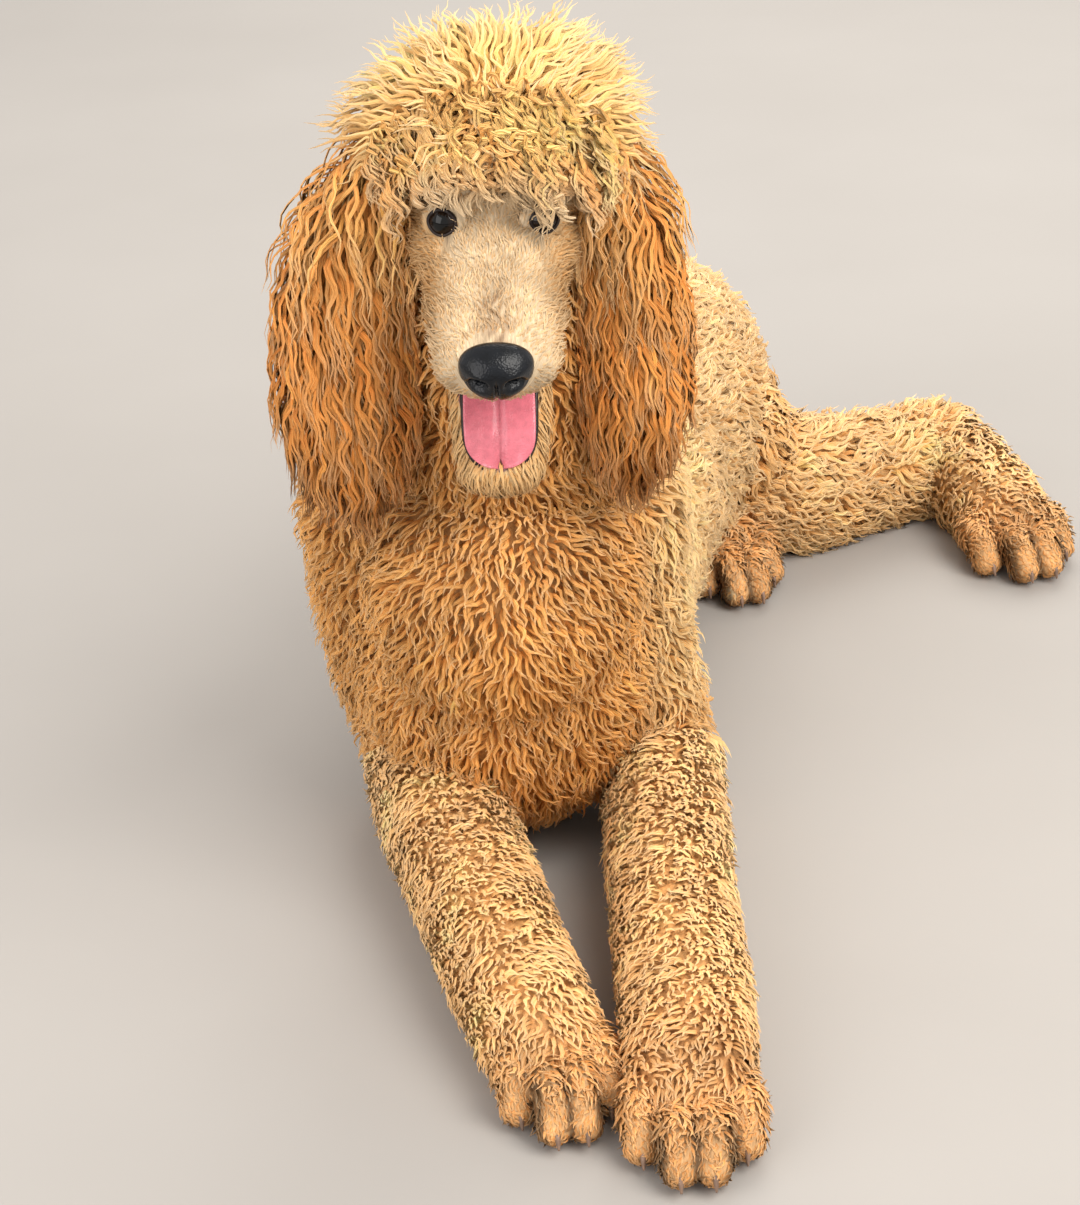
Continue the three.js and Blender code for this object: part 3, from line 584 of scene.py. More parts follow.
class Touch:
    """Finds the skin nearest to points, with its smooth normal."""

    def __init__(self, points, faces):
        self.tree = BVHTree.FromPolygons(points.tolist(), faces.tolist())
        self.normals = unit(normals_of(points, faces)[faces].mean(1))

    def __call__(self, points):
        near = np.empty_like(points)
        found = np.empty(len(points), int)
        for i, point in enumerate(points.tolist()):
            location, _, index, _ = self.tree.find_nearest(point)
            near[i] = location
            found[i] = index
        return near, self.normals[found]


def labels_for(points, forms):
    """The form nearest to each point, and how far outside it the point is."""
    best = np.full(len(points), np.inf)
    label = np.zeros(len(points), int)
    for i, form in enumerate(forms):
        level = form.place(points)[2]
        label = np.where(level < best, i, label)
        best = np.minimum(level, best)
    return label, best


def roots_on(points, faces, keep, spacing, seed):
    """Places spread evenly over the kept faces, spacing millimetres apart, with their normals."""
    draw = np.random.default_rng(seed)
    corners = points[faces]
    area = np.linalg.norm(np.cross(corners[:, 2] - corners[:, 0], corners[:, 3] - corners[:, 1]), axis=1) / 2
    area = np.where(keep, area, 0)
    spacing_at = spacing[faces].mean(1) if np.ndim(spacing) else np.full(len(faces), float(spacing))
    wanted = (area / (spacing_at * MM) ** 2).sum()
    share = area / spacing_at**2
    chosen = draw.choice(len(faces), int(wanted * 5), p=share / share.sum())
    a, b = draw.random((2, len(chosen), 1))
    weights = np.stack([(1 - a) * (1 - b), a * (1 - b), a * b, (1 - a) * b], 1)
    place = (corners[chosen] * weights).sum(1)
    normal = unit((normals_of(points, faces)[faces[chosen]] * weights).sum(1))
    gap = spacing_at[chosen] * MM * 0.86
    tree = KDTree(len(place))
    for i, point in enumerate(place.tolist()):
        tree.insert(point, i)
    tree.balance()
    taken = np.zeros(len(place), bool)
    kept = []
    for i, point in enumerate(place.tolist()):
        if taken[i]:
            continue
        kept.append(i)
        for _, j, _ in tree.find_range(point, gap[i]):
            taken[j] = True
    return place[kept], normal[kept]


def turned(ways, normals, angle):
    """The ways turned about the normals by an angle for each."""
    flat = unit(ways - normals * dot(ways, normals))
    return flat * np.cos(angle)[:, None] + np.cross(normals, flat) * np.sin(angle)[:, None]


def grow(touch, roots, normals, ways, length, height, cling=True, pull=0.0):
    """Centre lines of tufts that leave their roots along the lie of the coat, at heights over the skin.

    A clinging tuft keeps to its height. A hanging one is only kept that far off the skin, and is pulled down.
    """
    count, rings = height.shape
    centres = np.empty((count, rings, 3))
    facing = np.empty((count, rings, 3))
    here, way, normal = roots.copy(), ways.copy(), normals
    step = (length / (rings - 1))[:, None]
    centres[:, 0] = roots + normals * height[:, :1]
    facing[:, 0] = normals
    if not cling:
        here = centres[:, 0].copy()
    for ring in range(1, rings):
        if cling:
            here, normal = touch(here + way * step)
            way = unit(way - normal * dot(way, normal))
            centres[:, ring] = here + normal * height[:, ring : ring + 1]
        else:
            here = here + way * step
            near, normal = touch(here)
            gap = dot(here - near, normal)
            here = here + normal * np.maximum(height[:, ring : ring + 1] - gap, 0)
            centres[:, ring] = here
            way = unit(way + np.array((0, 0, -pull)))
        facing[:, ring] = normal
    return centres, facing


def waved(centres, facing, amplitude, turns, phase, lift):
    """Sets an S-wave on centre lines, across them and out of the coat."""
    rings = centres.shape[1]
    share = np.linspace(0, 1, rings)[None, :]
    way = unit(np.gradient(centres, axis=1))
    across = unit(np.cross(facing, way))
    angle = 2 * np.pi * turns[:, None] * share + phase[:, None]
    size = amplitude[:, None] * ease(share, 0, 0.25)
    moved = centres + across * (np.sin(angle) * size)[..., None]
    return moved + facing * (np.cos(angle) * size * lift)[..., None]


def gathered(centres, share_leading, hold):
    """Centre lines drawn together into locks, each towards its nearest leading one and most at the tip."""
    count, rings, _ = centres.shape
    leading = max(int(count * share_leading), 1)
    tree = KDTree(leading)
    for i, point in enumerate(centres[:leading, 0].tolist()):
        tree.insert(point, i)
    tree.balance()
    nearest = np.array([tree.find(point)[1] for point in centres[:, 0].tolist()])
    pull = hold * ease(np.linspace(0, 1, rings), 0.05, 0.8)
    return centres + (centres[nearest] - centres) * pull[None, :, None]


def solid_tufts(name, centres, facing, width, thick, taper, tint, patch, material):
    """Joined solid tufts of three sides along their centre lines, shaded as part of the coat's own surface.

    Strand holds each tuft's own across and along, and OFBake its patch at its root's place.
    """
    count, rings, _ = centres.shape
    way = unit(np.gradient(centres, axis=1))
    across = unit(np.cross(facing, way))
    outward = np.cross(way, across)
    share = np.linspace(0, 1, rings)
    profile = taper(share)[None, :, None, None]
    angle = np.array((90.0, 210.0, 330.0)) * np.pi / 180
    half = across[:, :, None] * (np.cos(angle)[None, None, :, None] * width[:, None, None, None])
    half = half + outward[:, :, None] * (np.sin(angle)[None, None, :, None] * thick[:, None, None, None])
    points = (centres[:, :, None] + half * profile).reshape(-1, 3)
    points[:, 2] = np.maximum(points[:, 2], 0.0003)
    sides = 3
    ring, k = np.meshgrid(np.arange(rings - 1), np.arange(sides), indexing="ij")
    ring, k = ring.ravel(), k.ravel()
    after = (k + 1) % sides
    low, high = ring * sides, (ring + 1) * sides
    quads = np.stack([low + k, low + after, high + after, high + k], 1)
    u = np.stack([k, k + 1, k + 1, k], 1) / sides
    v = np.stack([ring, ring, ring + 1, ring + 1], 1) / (rings - 1)
    tip = (rings - 1) * sides
    caps = np.array([[2, 1, 0], [tip, tip + 1, tip + 2]])
    corners = np.concatenate([quads.ravel(), caps.ravel()])
    across_map = np.concatenate([u.ravel(), [1, 0.5, 0, 0, 0.5, 1]])
    along_map = np.concatenate([v.ravel(), [0, 0, 0, 1, 1, 1]])
    strand = np.stack([across_map, along_map], 1)
    starts = np.concatenate([np.arange(len(quads)) * 4, len(quads) * 4 + np.array([0, 3])])
    size = len(corners)
    mesh = bpy.data.meshes.new(name)
    mesh.vertices.add(len(points))
    mesh.vertices.foreach_set("co", points.astype(np.float32).ravel())
    mesh.loops.add(size * count)
    offset = np.arange(count)[:, None]
    mesh.loops.foreach_set("vertex_index", (corners[None] + offset * rings * sides).astype(np.int32).ravel())
    mesh.polygons.add(len(starts) * count)
    mesh.polygons.foreach_set("loop_start", (starts[None] + offset * size).astype(np.int32).ravel())
    mesh.polygons.foreach_set("use_smooth", np.ones(len(starts) * count, bool))
    mesh.update(calc_edges=True)
    for map_name, values in (
        ("OFBake", patch[:, None] + (strand - 0.5)[None] * PATCH_SIZE),
        ("Strand", np.broadcast_to(strand[None], (count, size, 2))),
    ):
        layer = mesh.uv_layers.new(name=map_name, do_init=False)
        layer.uv.foreach_set("vector", np.ascontiguousarray(values, np.float32).ravel())
    colour = np.ones((count, rings * sides, 4), np.float32)
    colour[..., :3] = np.clip(tint, 0, 1)[:, None]
    set_attribute(mesh, "tint", "FLOAT_COLOR", "color", colour)
    rounded = across[:, :, None] * (np.cos(angle)[:, None] / width[:, None, None, None])
    rounded = unit(rounded + outward[:, :, None] * (np.sin(angle)[:, None] / thick[:, None, None, None]))
    shading = unit(rounded * (1 - SOFTNESS) + facing[:, :, None] * SOFTNESS)
    mesh.normals_split_custom_set_from_vertices(shading.reshape(-1, 3).tolist())
    mesh.materials.append(material)
    made = bpy.data.objects.new(name, mesh)
    bpy.context.scene.collection.objects.link(made)
    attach(made, "root")
    print(name, "tufts", count, "triangles", count * (len(quads) * 2 + 2))


# Materials.


def new_material(name):
    material = bpy.data.materials.new(name)
    material.use_nodes = True
    return material, material.node_tree, material.node_tree.nodes["Principled BSDF"]


def fill_in(tree, node, values):
    """Sets a node's inputs, or links them where another node's output is given as the value."""
    for name, value in values.items():
        if isinstance(value, bpy.types.NodeSocket):
            tree.links.new(value, node.inputs[name])
        else:
            node.inputs[name].default_value = value


def add_node(tree, kind, values=None, **settings):
    node = tree.nodes.new(kind)
    for name, value in settings.items():
        setattr(node, name, value)
    fill_in(tree, node, values or {})
    return node


def calculated(tree, operation, first, second):
    return add_node(tree, "ShaderNodeMath", {0: first, 1: second}, operation=operation).outputs[0]


def ranged(tree, value, low, high, to_low, to_high, way="LINEAR"):
    """A value between low and high as one between the other two."""
    values = {"Value": value, "From Min": low, "From Max": high, "To Min": to_low, "To Max": to_high}
    return add_node(tree, "ShaderNodeMapRange", values, interpolation_type=way).outputs[0]


def mixed(tree, way, share, colour, other):
    values = {0: share, 6: colour, 7: other}
    return add_node(tree, "ShaderNodeMix", values, data_type="RGBA", blend_type=way).outputs[2]


def relief(tree, height, strength, distance):
    values = {"Height": height, "Strength": strength, "Distance": distance}
    return add_node(tree, "ShaderNodeBump", values).outputs["Normal"]


def attribute(tree, name, output):
    return add_node(tree, "ShaderNodeAttribute", attribute_name=name).outputs[output]


def new_group(name, tint, numbers):
    """A node group that takes a tint and the numbers that are named, and gives a colour and a height."""
    group = bpy.data.node_groups.new(name, "ShaderNodeTree")
    made = group.interface.new_socket("Tint", in_out="INPUT", socket_type="NodeSocketColor")
    made.default_value = tint
    for socket, value in numbers.items():
        made = group.interface.new_socket(socket, in_out="INPUT", socket_type="NodeSocketFloat")
        made.default_value = value
    group.interface.new_socket("Colour", in_out="OUTPUT", socket_type="NodeSocketColor")
    group.interface.new_socket("Height", in_out="OUTPUT", socket_type="NodeSocketFloat")
    return group, group.nodes.new("NodeGroupInput").outputs, group.nodes.new("NodeGroupOutput")


def make_strand_group():
    """Shades a tuft: painted shade that darkens its root, a pale tip that is partly painted light, and fine
    hairs side by side along it.
    """
    numbers = {"Root Shade": 0.35, "Tip Light": 0.35, "Hairs": 9.0, "Streaks": 0.35}
    group, given, end = new_group("strand shading", (0.6, 0.3, 0.1, 1), numbers)
    strand = add_node(group, "ShaderNodeUVMap", uv_map="Strand").outputs["UV"]
    split = add_node(group, "ShaderNodeSeparateXYZ", {0: strand}).outputs
    place = add_node(group, "ShaderNodeTexCoord").outputs["Object"]
    values = {"Vector": place, "Scale": 90.0, "Detail": 1.0}
    cell = add_node(group, "ShaderNodeTexNoise", values).outputs["Fac"]
    across = calculated(group, "MULTIPLY", split["X"], given["Hairs"])
    across = calculated(group, "ADD", across, calculated(group, "MULTIPLY", cell, 7.0))
    along = calculated(group, "MULTIPLY", split["Y"], 1.6)
    pair = add_node(group, "ShaderNodeCombineXYZ", {"X": across, "Y": along}).outputs[0]
    values = {"Vector": pair, "Scale": 1.0, "Detail": 2.0, "Roughness": 0.6}
    hairs = add_node(group, "ShaderNodeTexNoise", values, noise_dimensions="2D").outputs["Fac"]
    streak = ranged(group, hairs, 0.3, 0.7, 0.0, 1.0)
    # The painted shade from root to tip: dark deep in the coat, where the tufts shadow each other, and pale
    # at the tip, partly as painted light on the coat's outside.
    rise = ranged(group, split["Y"], 0.0, 0.55, given["Root Shade"], 1.0, "SMOOTHSTEP")
    tip = ranged(group, split["Y"], 0.5, 1.0, 0.0, given["Tip Light"], "SMOOTHSTEP")
    dark = ranged(group, streak, 0.0, 1.0, calculated(group, "SUBTRACT", 1.0, given["Streaks"]), 1.0)
    shade = calculated(group, "MULTIPLY", rise, dark)
    # The painted shade turns hair redder as well as darker, because light passes through more of it.
    powers = {"Red": 0.35, "Green": 1.2, "Blue": 2.4}
    shades = {channel: calculated(group, "POWER", shade, power) for channel, power in powers.items()}
    shades = add_node(group, "ShaderNodeCombineColor", shades).outputs[0]
    colour = mixed(group, "MULTIPLY", 1.0, given["Tint"], shades)
    fill_in(group, end, {"Colour": mixed(group, "MIX", tip, colour, PALE_TIP), "Height": streak})
    return group


def make_pebble_group():
    """Shades a finish with faint clouds, and raises fine pebbles on it."""
    group, given, end = new_group("fine pebbles", (0.5, 0.5, 0.5, 1), {"Clouds": 0.3, "Scale": 700.0})
    place = add_node(group, "ShaderNodeTexCoord").outputs["Object"]
    cells = add_node(group, "ShaderNodeTexVoronoi", {"Vector": place, "Scale": given["Scale"]})
    scale = calculated(group, "MULTIPLY", given["Scale"], 0.22)
    cloud = add_node(group, "ShaderNodeTexNoise", {"Vector": place, "Scale": scale, "Detail": 4.0})
    low, high = (calculated(group, way, 1.0, given["Clouds"]) for way in ("SUBTRACT", "ADD"))
    shade = ranged(group, cloud.outputs["Fac"], 0.3, 0.7, low, high)
    colour = mixed(group, "MULTIPLY", 1.0, given["Tint"], shade)
    fill_in(group, end, {"Colour": colour, "Height": cells.outputs["Distance"]})
    return group


strand_group = make_strand_group()
pebble_group = make_pebble_group()


def hair_material(name, root_shade, tip_light, hairs, streaks, roughness, bump):
    """Hair that is shaded along each tuft."""
    material, tree, shader = new_material(name)
    values = {"Tint": attribute(tree, "tint", "Color"), "Root Shade": root_shade, "Tip Light": tip_light}
    values.update({"Hairs": hairs, "Streaks": streaks})
    strand = add_node(tree, "ShaderNodeGroup", values, node_tree=strand_group).outputs
    fill_in(tree, shader, {
        "Base Color": strand["Colour"], "Roughness": roughness, "Specular IOR Level": 0.3,
        "Normal": relief(tree, strand["Height"], bump, 0.0006),
    })
    return material


# Each hair's root shade sets the painted shade at its roots, and its tip light pales its tips, partly as
# painted light.
curl_hair = hair_material("curly apricot hair", 0.64, 0.30, 8.0, 0.28, 0.55, 0.6)
leg_hair = hair_material("short golden leg hair", 0.80, 0.30, 8.0, 0.20, 0.60, 0.5)
ear_hair = hair_material("long rust ear hair", 0.65, 0.25, 8.0, 0.32, 0.50, 0.6)
topknot_hair = hair_material("long golden topknot hair", 0.70, 0.45, 8.0, 0.20, 0.55, 0.6)
face_hair = hair_material("short cream face hair", 0.80, 0.20, 5.0, 0.20, 0.6, 0.5)
foot_hair = hair_material("clipped foot hair", 0.78, 0.20, 5.0, 0.30, 0.65, 0.5)


def skin_material():
    """Skin under the coat, with short flat hair in fine streaks where the face is bare of curls."""
    material, tree, shader = new_material("skin and short flat hair")
    place = {"Vector": attribute(tree, "hair_place", "Vector"), "Scale": (1100, 160, 160)}
    streaks = add_node(tree, "ShaderNodeMapping", place).outputs[0]
    values = {"Vector": streaks, "Scale": 1.0, "Detail": 3.0, "Roughness": 0.6, "Distortion": 0.6}
    noise = add_node(tree, "ShaderNodeTexNoise", values).outputs["Fac"]
    shade = ranged(tree, noise, 0.3, 0.7, 0.62, 1.12)
    fill_in(tree, shader, {
        "Base Color": mixed(tree, "MULTIPLY", 1.0, attribute(tree, "tint", "Color"), shade),
        "Roughness": ranged(tree, attribute(tree, "moist", "Fac"), 0.0, 1.0, 0.75, 0.25),
        "Normal": relief(tree, noise, 0.8, 0.0008),
    })
    return material


# Colours of the coat and skin over the dog.


def blend(base, other, share):
    return base + (np.array(other) - base) * np.asarray(share)[:, None]


BODY_NAMES = list(BODY_FORMS)
BODY_LIST = list(BODY_FORMS.values())
TRUNK = ("torso", "neck", "arm_left", "arm_right")
COLOUR_BY_FORM = {
    "torso": BACK_COLOUR, "neck": BACK_COLOUR, "arm": BACK_COLOUR, "foreleg": FORELEG_COLOUR,
    "thigh": THIGH_SHADE_COLOUR, "shank": HIND_COLOUR, "foot": HIND_COLOUR, "ear": EAR_COLOUR, "tail": THIGH_SHADE_COLOUR,
}


def is_on(label, *names):
    """Which of the labelled points are on the forms that are named."""
    return np.isin(label, [BODY_NAMES.index(name) for name in names])


def body_colour(points, label):
    """The coat's colour on the body, legs, tail and ears, with painted shade on the chest, thighs and tail
    and a painted highlight on the left shoulder.
    """
    by_form = np.array([COLOUR_BY_FORM[name.split("_")[0]] for name in BODY_NAMES])
    colour = by_form[label]
    x, y, z = points.T / MM
    trunk = is_on(label, *TRUNK)
    # Painted shade: the front of the chest is darker and redder.
    chest = 1 - ease(y + 12 * ripple(points, 25, 74), -100, 20)
    colour = blend(colour, CHEST_SHADE_COLOUR, chest * trunk)
    # Painted highlight: the top of the left shoulder is paler.
    shoulder = ease(x, 42, 72) * ease(z, 60, 120) * (1 - ease(y, 20, 120)) * trunk * 0.9
    colour = blend(colour, SHOULDER_HIGHLIGHT_COLOUR, shoulder)
    colour = blend(colour, PAW_COLOUR, ease(-y, 310, 390) * is_on(label, "foreleg_left", "foreleg_right"))
    colour = blend(colour, PAW_COLOUR, (1 - ease(y, 240, 290)) * is_on(label, "foot_left", "foot_right"))
    colour = blend(colour, EAR_TOP_COLOUR, ease(z, 395, 455) * is_on(label, "ear_left", "ear_right"))
    return patchy(colour, points)


def head_colour(points):
    """The coat's colour on the head, from the bare face to the topknot, with painted shade low on the cheeks
    and partly painted light on the crown.
    """
    left, forward, up = to_head(points).T
    colour = np.tile(np.array(FACE_COLOUR), (len(points), 1))
    streaked = 0.65 + 0.35 * ripple(points * (1, 0.3, 0.3), 3.5, 73)
    ridge = np.exp(-((left / 10) ** 2)) * ease(forward, 25, 75) * ease(up, -14, -4)
    colour = blend(colour, BRIDGE_COLOUR, np.clip(ridge * streaked, 0, 1))
    # Painted shade low on the sides of the face.
    cheek = ease(np.abs(left), 17, 33) * (1 - ease(forward, 40, 84)) * ease(-up, -14, 4)
    colour = blend(colour, CHEEK_SHADE_COLOUR, np.clip(cheek * (0.7 + 0.3 * streaked), 0, 1))
    colour = blend(colour, CHIN_COLOUR, ease(-up, 55, 75))
    colour = blend(colour, FRINGE_COLOUR, 1 - ease(forward, -30, -4))
    # Paler and yellower on top of the head, partly as painted light.
    colour = blend(colour, TOPKNOT_COLOUR, ease(up, 14, 44) * (1 - ease(forward, -20, 4)))
    return patchy(colour, points)


def among_toes(points):
    """How many millimetres places are behind their toe's tip, and how near they are to a cleft."""
    feet = list(FEET.values())
    at = np.array([foot["at"] for foot in feet], float)
    heading = unit(np.array([foot["heading"] for foot in feet], float))
    pitch = np.array([foot["pitch"] for foot in feet], float)
    flat = points[:, :2] / MM
    nearest = np.linalg.norm(flat[:, None] - at, axis=2).argmin(1)
    off, way = flat - at[nearest], heading[nearest]
    toe = (off[:, 1] * way[:, 0] - off[:, 0] * way[:, 1]) / pitch[nearest] + 1.5
    reach = np.array(TOE_REACH)[np.clip(np.round(toe), 0, 3).astype(int)]
    behind = reach - (off * way).sum(1)
    cleft = (1 - ease(np.abs(toe - np.floor(toe) - 0.5), 0.04, 0.2)) * (toe > 0) * (toe < 3)
    return behind, cleft * (1 - ease(behind, 16, 26))


def patchy(colour, points):
    """Lighter and darker patches as any coat has."""
    colour = colour * (1 + 0.10 * ripple(points, 60, 71) + 0.07 * ripple(points, 17, 72))[:, None]
    return np.clip(colour, 0, 1)


def head_chart(points):
    """A place in the unit square for points on the head, unrolled about its middle."""
    left, forward, up = (to_head(points) - np.array((0, -40, -8))).T
    turn = np.arctan2(left, forward) / (2 * np.pi) + 0.5
    polar = np.arccos(np.clip(up / np.sqrt(left**2 + forward**2 + up**2), -1, 1)) / np.pi
    return np.stack([0.02 + 0.96 * turn, 0.02 + 0.96 * polar], 1)


def body_chart(points, label):
    """A place in the unit square for points on the body, unrolled along and round each form in its strip."""
    found = np.zeros((len(points), 2))
    present = np.unique(label)
    for strip, i in enumerate(present):
        on = label == i
        along, spin, _ = BODY_LIST[i].place(points[on])
        found[on, 0] = (strip + 0.05 + 0.9 * (spin / (2 * np.pi) + 0.5)) / len(present)
        found[on, 1] = 0.02 + 0.96 * (along + 1) / 3
    return found


body_points, body_faces = skin_parts["body"]
head_points, head_faces = skin_parts["head"]
feet_points, feet_faces = skin_parts["feet"]
body_label, _ = labels_for(body_points, BODY_LIST)
feet_label, _ = labels_for(feet_points, BODY_LIST)
HEAD_LIST = list(HEAD_FORMS.values())
body_in_head = labels_for(body_points, HEAD_LIST)[1]
head_in_body = labels_for(head_points, BODY_LIST)[1]
head_normals = normals_of(head_points, head_faces)


def make_skin():
    """All the skin in one piece, with its markings and painted shade: under the coat, under the topknot and
    in the clefts between the toes.
    """
    points, faces = joined_arrays([skin_parts["body"], skin_parts["head"], skin_parts["feet"]])
    skin = piece("skin", points, faces)
    mesh = skin.data
    place = to_head(head_points)
    left, forward, up = place.T
    head_tint = head_colour(head_points)
    # Painted shade: the skin under the topknot is darker and redder.
    topknot_shade = 1 - ease(forward, -26, -6)
    head_tint = blend(head_tint, head_tint * (0.85, 0.62, 0.4), topknot_shade)
    inner = (np.abs(left) < 27) & (forward < 84) & (up < -38) & (up > -0.42 * (forward - 4) - 66)
    facing_in = np.abs(to_head(head_points + head_normals * MM)[:, 2] - up) > 0.35
    mouth = (inner & facing_in).astype(float)
    head_tint = blend(head_tint, MOUTH_COLOUR, mouth)
    eye_dark = np.maximum(*(1 - ease(past_lids(place, side), 0.04, 0.14) for side in SIDES.values()))
    head_tint = blend(head_tint, LIP_COLOUR, eye_dark)
    on_leg = np.array([name.startswith(("foreleg", "shank", "foot", "thigh")) for name in BODY_NAMES])
    # Painted shade: the skin under the coat is darker and redder than the hair, least on the legs.
    body_tint = body_colour(body_points, body_label) * (0.62 + 0.26 * on_leg[body_label])[:, None]
    body_tint = body_tint * np.array((1.0, 0.84, 0.66))
    # Painted shade: the skin of the feet is darker, most in the clefts between the toes.
    feet_tint = body_colour(feet_points, feet_label) * (0.85 - 0.6 * among_toes(feet_points)[1])[:, None]
    tint = np.ones((len(points), 4))
    tint[:, :3] = np.vstack([body_tint, head_tint, feet_tint])
    set_attribute(mesh, "tint", "FLOAT_COLOR", "color", tint)
    on_head = slice(len(body_points), len(body_points) + len(head_points))
    moist = np.zeros(len(points))
    moist[on_head] = np.maximum(mouth, eye_dark * 0.6)
    set_attribute(mesh, "moist", "FLOAT", "value", moist)
    spin = np.arctan2(left, up + 40)
    head_hair = np.stack([spin * 0.05, forward * MM, np.zeros(len(spin))], 1)
    hair_place = [body_points * (0.2, 1.4, 1.4), head_hair, feet_points * (0.5, 1.0, 1.0)]
    set_attribute(mesh, "hair_place", "FLOAT_VECTOR", "vector", np.vstack(hair_place))
    mesh.materials.append(skin_material())
    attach(skin, "root")
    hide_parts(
        "head", "lower_jaw", "ear_left", "ear_right", "neck", "chest", "rump", "tail",
        "foreleg_left", "foreleg_right", "forepaw_left", "forepaw_right",
        "hind_leg_left", "hind_leg_right", "hind_paw_left", "hind_paw_right",
    )


make_skin()

# The coat.

touch_body = Touch(body_points, body_faces)
touch_head = Touch(head_points, head_faces)
touch_feet = Touch(feet_points, feet_faces)


def lie_on_body(points, normals, label):
    """The way that the coat lies on the body, flat on the skin."""
    way = np.zeros_like(points)
    for i, form in enumerate(BODY_LIST):
        on = label == i
        if on.any():
            way[on] = form.at(form.ahead, form.place(points[on])[0])
    x, y, _ = points.T / MM
    trunk = is_on(label, *TRUNK)
    front = (trunk * (1 - ease(y, -20, 60)))[:, None]
    spread = np.stack([np.clip((x + 18) / 110, -1, 1) * 0.8, np.zeros(len(x)), -np.ones(len(x))], 1)
    way = unit(way * (1 - front) + spread * front)
    way = unit(way + np.array((0, 0, -0.5)) * trunk[:, None])
    return unit(way - normals * dot(way, normals))


def curls(
    name, which, seed, spacing, length, width, depth, amplitude, turns, rings, limit=None, hair=curl_hair,
):
    """A piece of curly coat over the forms that are named.

    Depth is a number or a function of places and their labels; limit says which places the piece keeps to.
    """
    visible = is_on(body_label, *which) & (body_in_head > -2 * MM) & (body_points[:, 2] > 2.5 * MM)
    keep = visible[body_faces].all(1)
    if limit is not None:
        keep &= limit(body_points[body_faces].mean(1) / MM)
    roots, normals = roots_on(body_points, body_faces, keep, spacing, seed)
    label, _ = labels_for(roots, BODY_LIST)
    draw = np.random.default_rng(seed + 1)
    count = len(roots)
    ways = lie_on_body(roots, normals, label)
    sway = 0.5 * ripple(roots, 42, seed + 2) + 0.3 * ripple(roots, 15, seed + 5)
    ways = turned(ways, normals, sway + draw.normal(0, 0.16, count))
    depth_at = depth(roots, label) if callable(depth) else np.full(count, float(depth))
    share = np.linspace(0, 1, rings)[None, :]
    level = draw.uniform(0.6, 0.95, count) * (1 + 0.12 * ripple(roots, 14, seed + 3))
    rise = np.sin(np.clip(share * 1.6, 0, 1) * np.pi / 2)
    lifted = draw.uniform(0, 0.35, count)[:, None] * share**3
    height = depth_at[:, None] * MM * (level[:, None] * rise + lifted) - 1.0 * MM * (1 - share) ** 4
    scale = (depth_at / CURL_DEPTH) ** 0.5
    lengths = length * MM * draw.uniform(0.8, 1.25, count) * scale
    centres, facing = grow(touch_body, roots, normals, ways, lengths, height)
    phase = 3.0 * ripple(roots, 20, seed + 4) + draw.normal(0, 0.4, count)
    size = amplitude * MM * draw.uniform(0.7, 1.25, count) * scale
    centres = waved(centres, facing, size, turns * draw.uniform(0.85, 1.2, count), phase, 0.6)
    tint = body_colour(roots, label) * draw.uniform(0.86, 1.14, (count, 1))
    # Painted shade: tufts that lie lower in the coat are darker.
    tint = tint * (0.70 + 0.38 * level)[:, None]
    widths = width * MM * draw.uniform(0.8, 1.2, count) * scale
    solid_tufts(
        name, centres, facing, widths, widths * 0.6,
        lambda s: 0.95 * (1 - s**1.7) * (0.7 + 0.3 * ease(s, 0, 0.3)) + 0.05,
        tint, body_chart(roots, label), hair,
    )


def leg_depth(points, label):
    """How deep the curls are, down to short hair on the feet."""
    depth = np.full(len(points), CURL_DEPTH)
    tables = {"foreleg": FORELEG_DEPTHS, "shank": SHANK_DEPTHS, "foot": FOOT_DEPTHS}
    for i, name in enumerate(BODY_NAMES):
        on = label == i
        table = tables.get(name.split("_")[0])
        if on.any() and table:
            along = np.clip(BODY_LIST[i].place(points[on])[0], 0, 1)
            depth[on] = np.interp(along * (len(table) - 1), range(len(table)), table)
    return depth


BODY_CURL = {
    "spacing": 3.7, "length": 12.5, "width": 1.7, "depth": CURL_DEPTH,
    "amplitude": 1.5, "turns": 1.0, "rings": 6,
}
LEG_CURL = {
    **BODY_CURL, "spacing": 3.1, "length": 14, "width": 2.3, "depth": leg_depth,
    "amplitude": 1.4, "rings": 5, "hair": leg_hair,
}
SIDE_CURL = {**BODY_CURL, "spacing": 5.0, "width": 2.4, "length": 17, "amplitude": 2.2}
HIND_CURL = {**BODY_CURL, "spacing": 3.8, "depth": leg_depth, "width": 2.4, "length": 16, "amplitude": 2.6}


def in_front(places):
    return places[:, 1] < CHEST_END


def chest_right_of(places):
    return in_front(places) & (places[:, 0] < CHEST_MIDDLE)


def chest_left_of(places):
    return in_front(places) & (places[:, 0] >= CHEST_MIDDLE)


def right_of_spine(places):
    return places[:, 0] < 0.2 * places[:, 1] - 6


def side_right_of(places):
    return ~in_front(places) & right_of_spine(places)


def side_left_of(places):
    return ~in_front(places) & ~right_of_spine(places)


curls("curls_chest_right", TRUNK, 101, **BODY_CURL, limit=chest_right_of)
curls("curls_chest_left", TRUNK, 102, **BODY_CURL, limit=chest_left_of)
curls("curls_side_right", TRUNK, 103, **SIDE_CURL, limit=side_right_of)
curls("curls_side_left", TRUNK, 104, **SIDE_CURL, limit=side_left_of)
curls("curls_haunches", ("thigh_left", "thigh_right", "tail"), 105, **HIND_CURL)
curls("curls_foreleg_right", ("foreleg_right",), 106, **LEG_CURL)
curls("curls_foreleg_left", ("foreleg_left",), 107, **LEG_CURL)
curls("curls_hind_leg_left", ("shank_left", "foot_left"), 108, **HIND_CURL)
curls("curls_hind_leg_right", ("shank_right", "foot_right"), 109, **HIND_CURL)


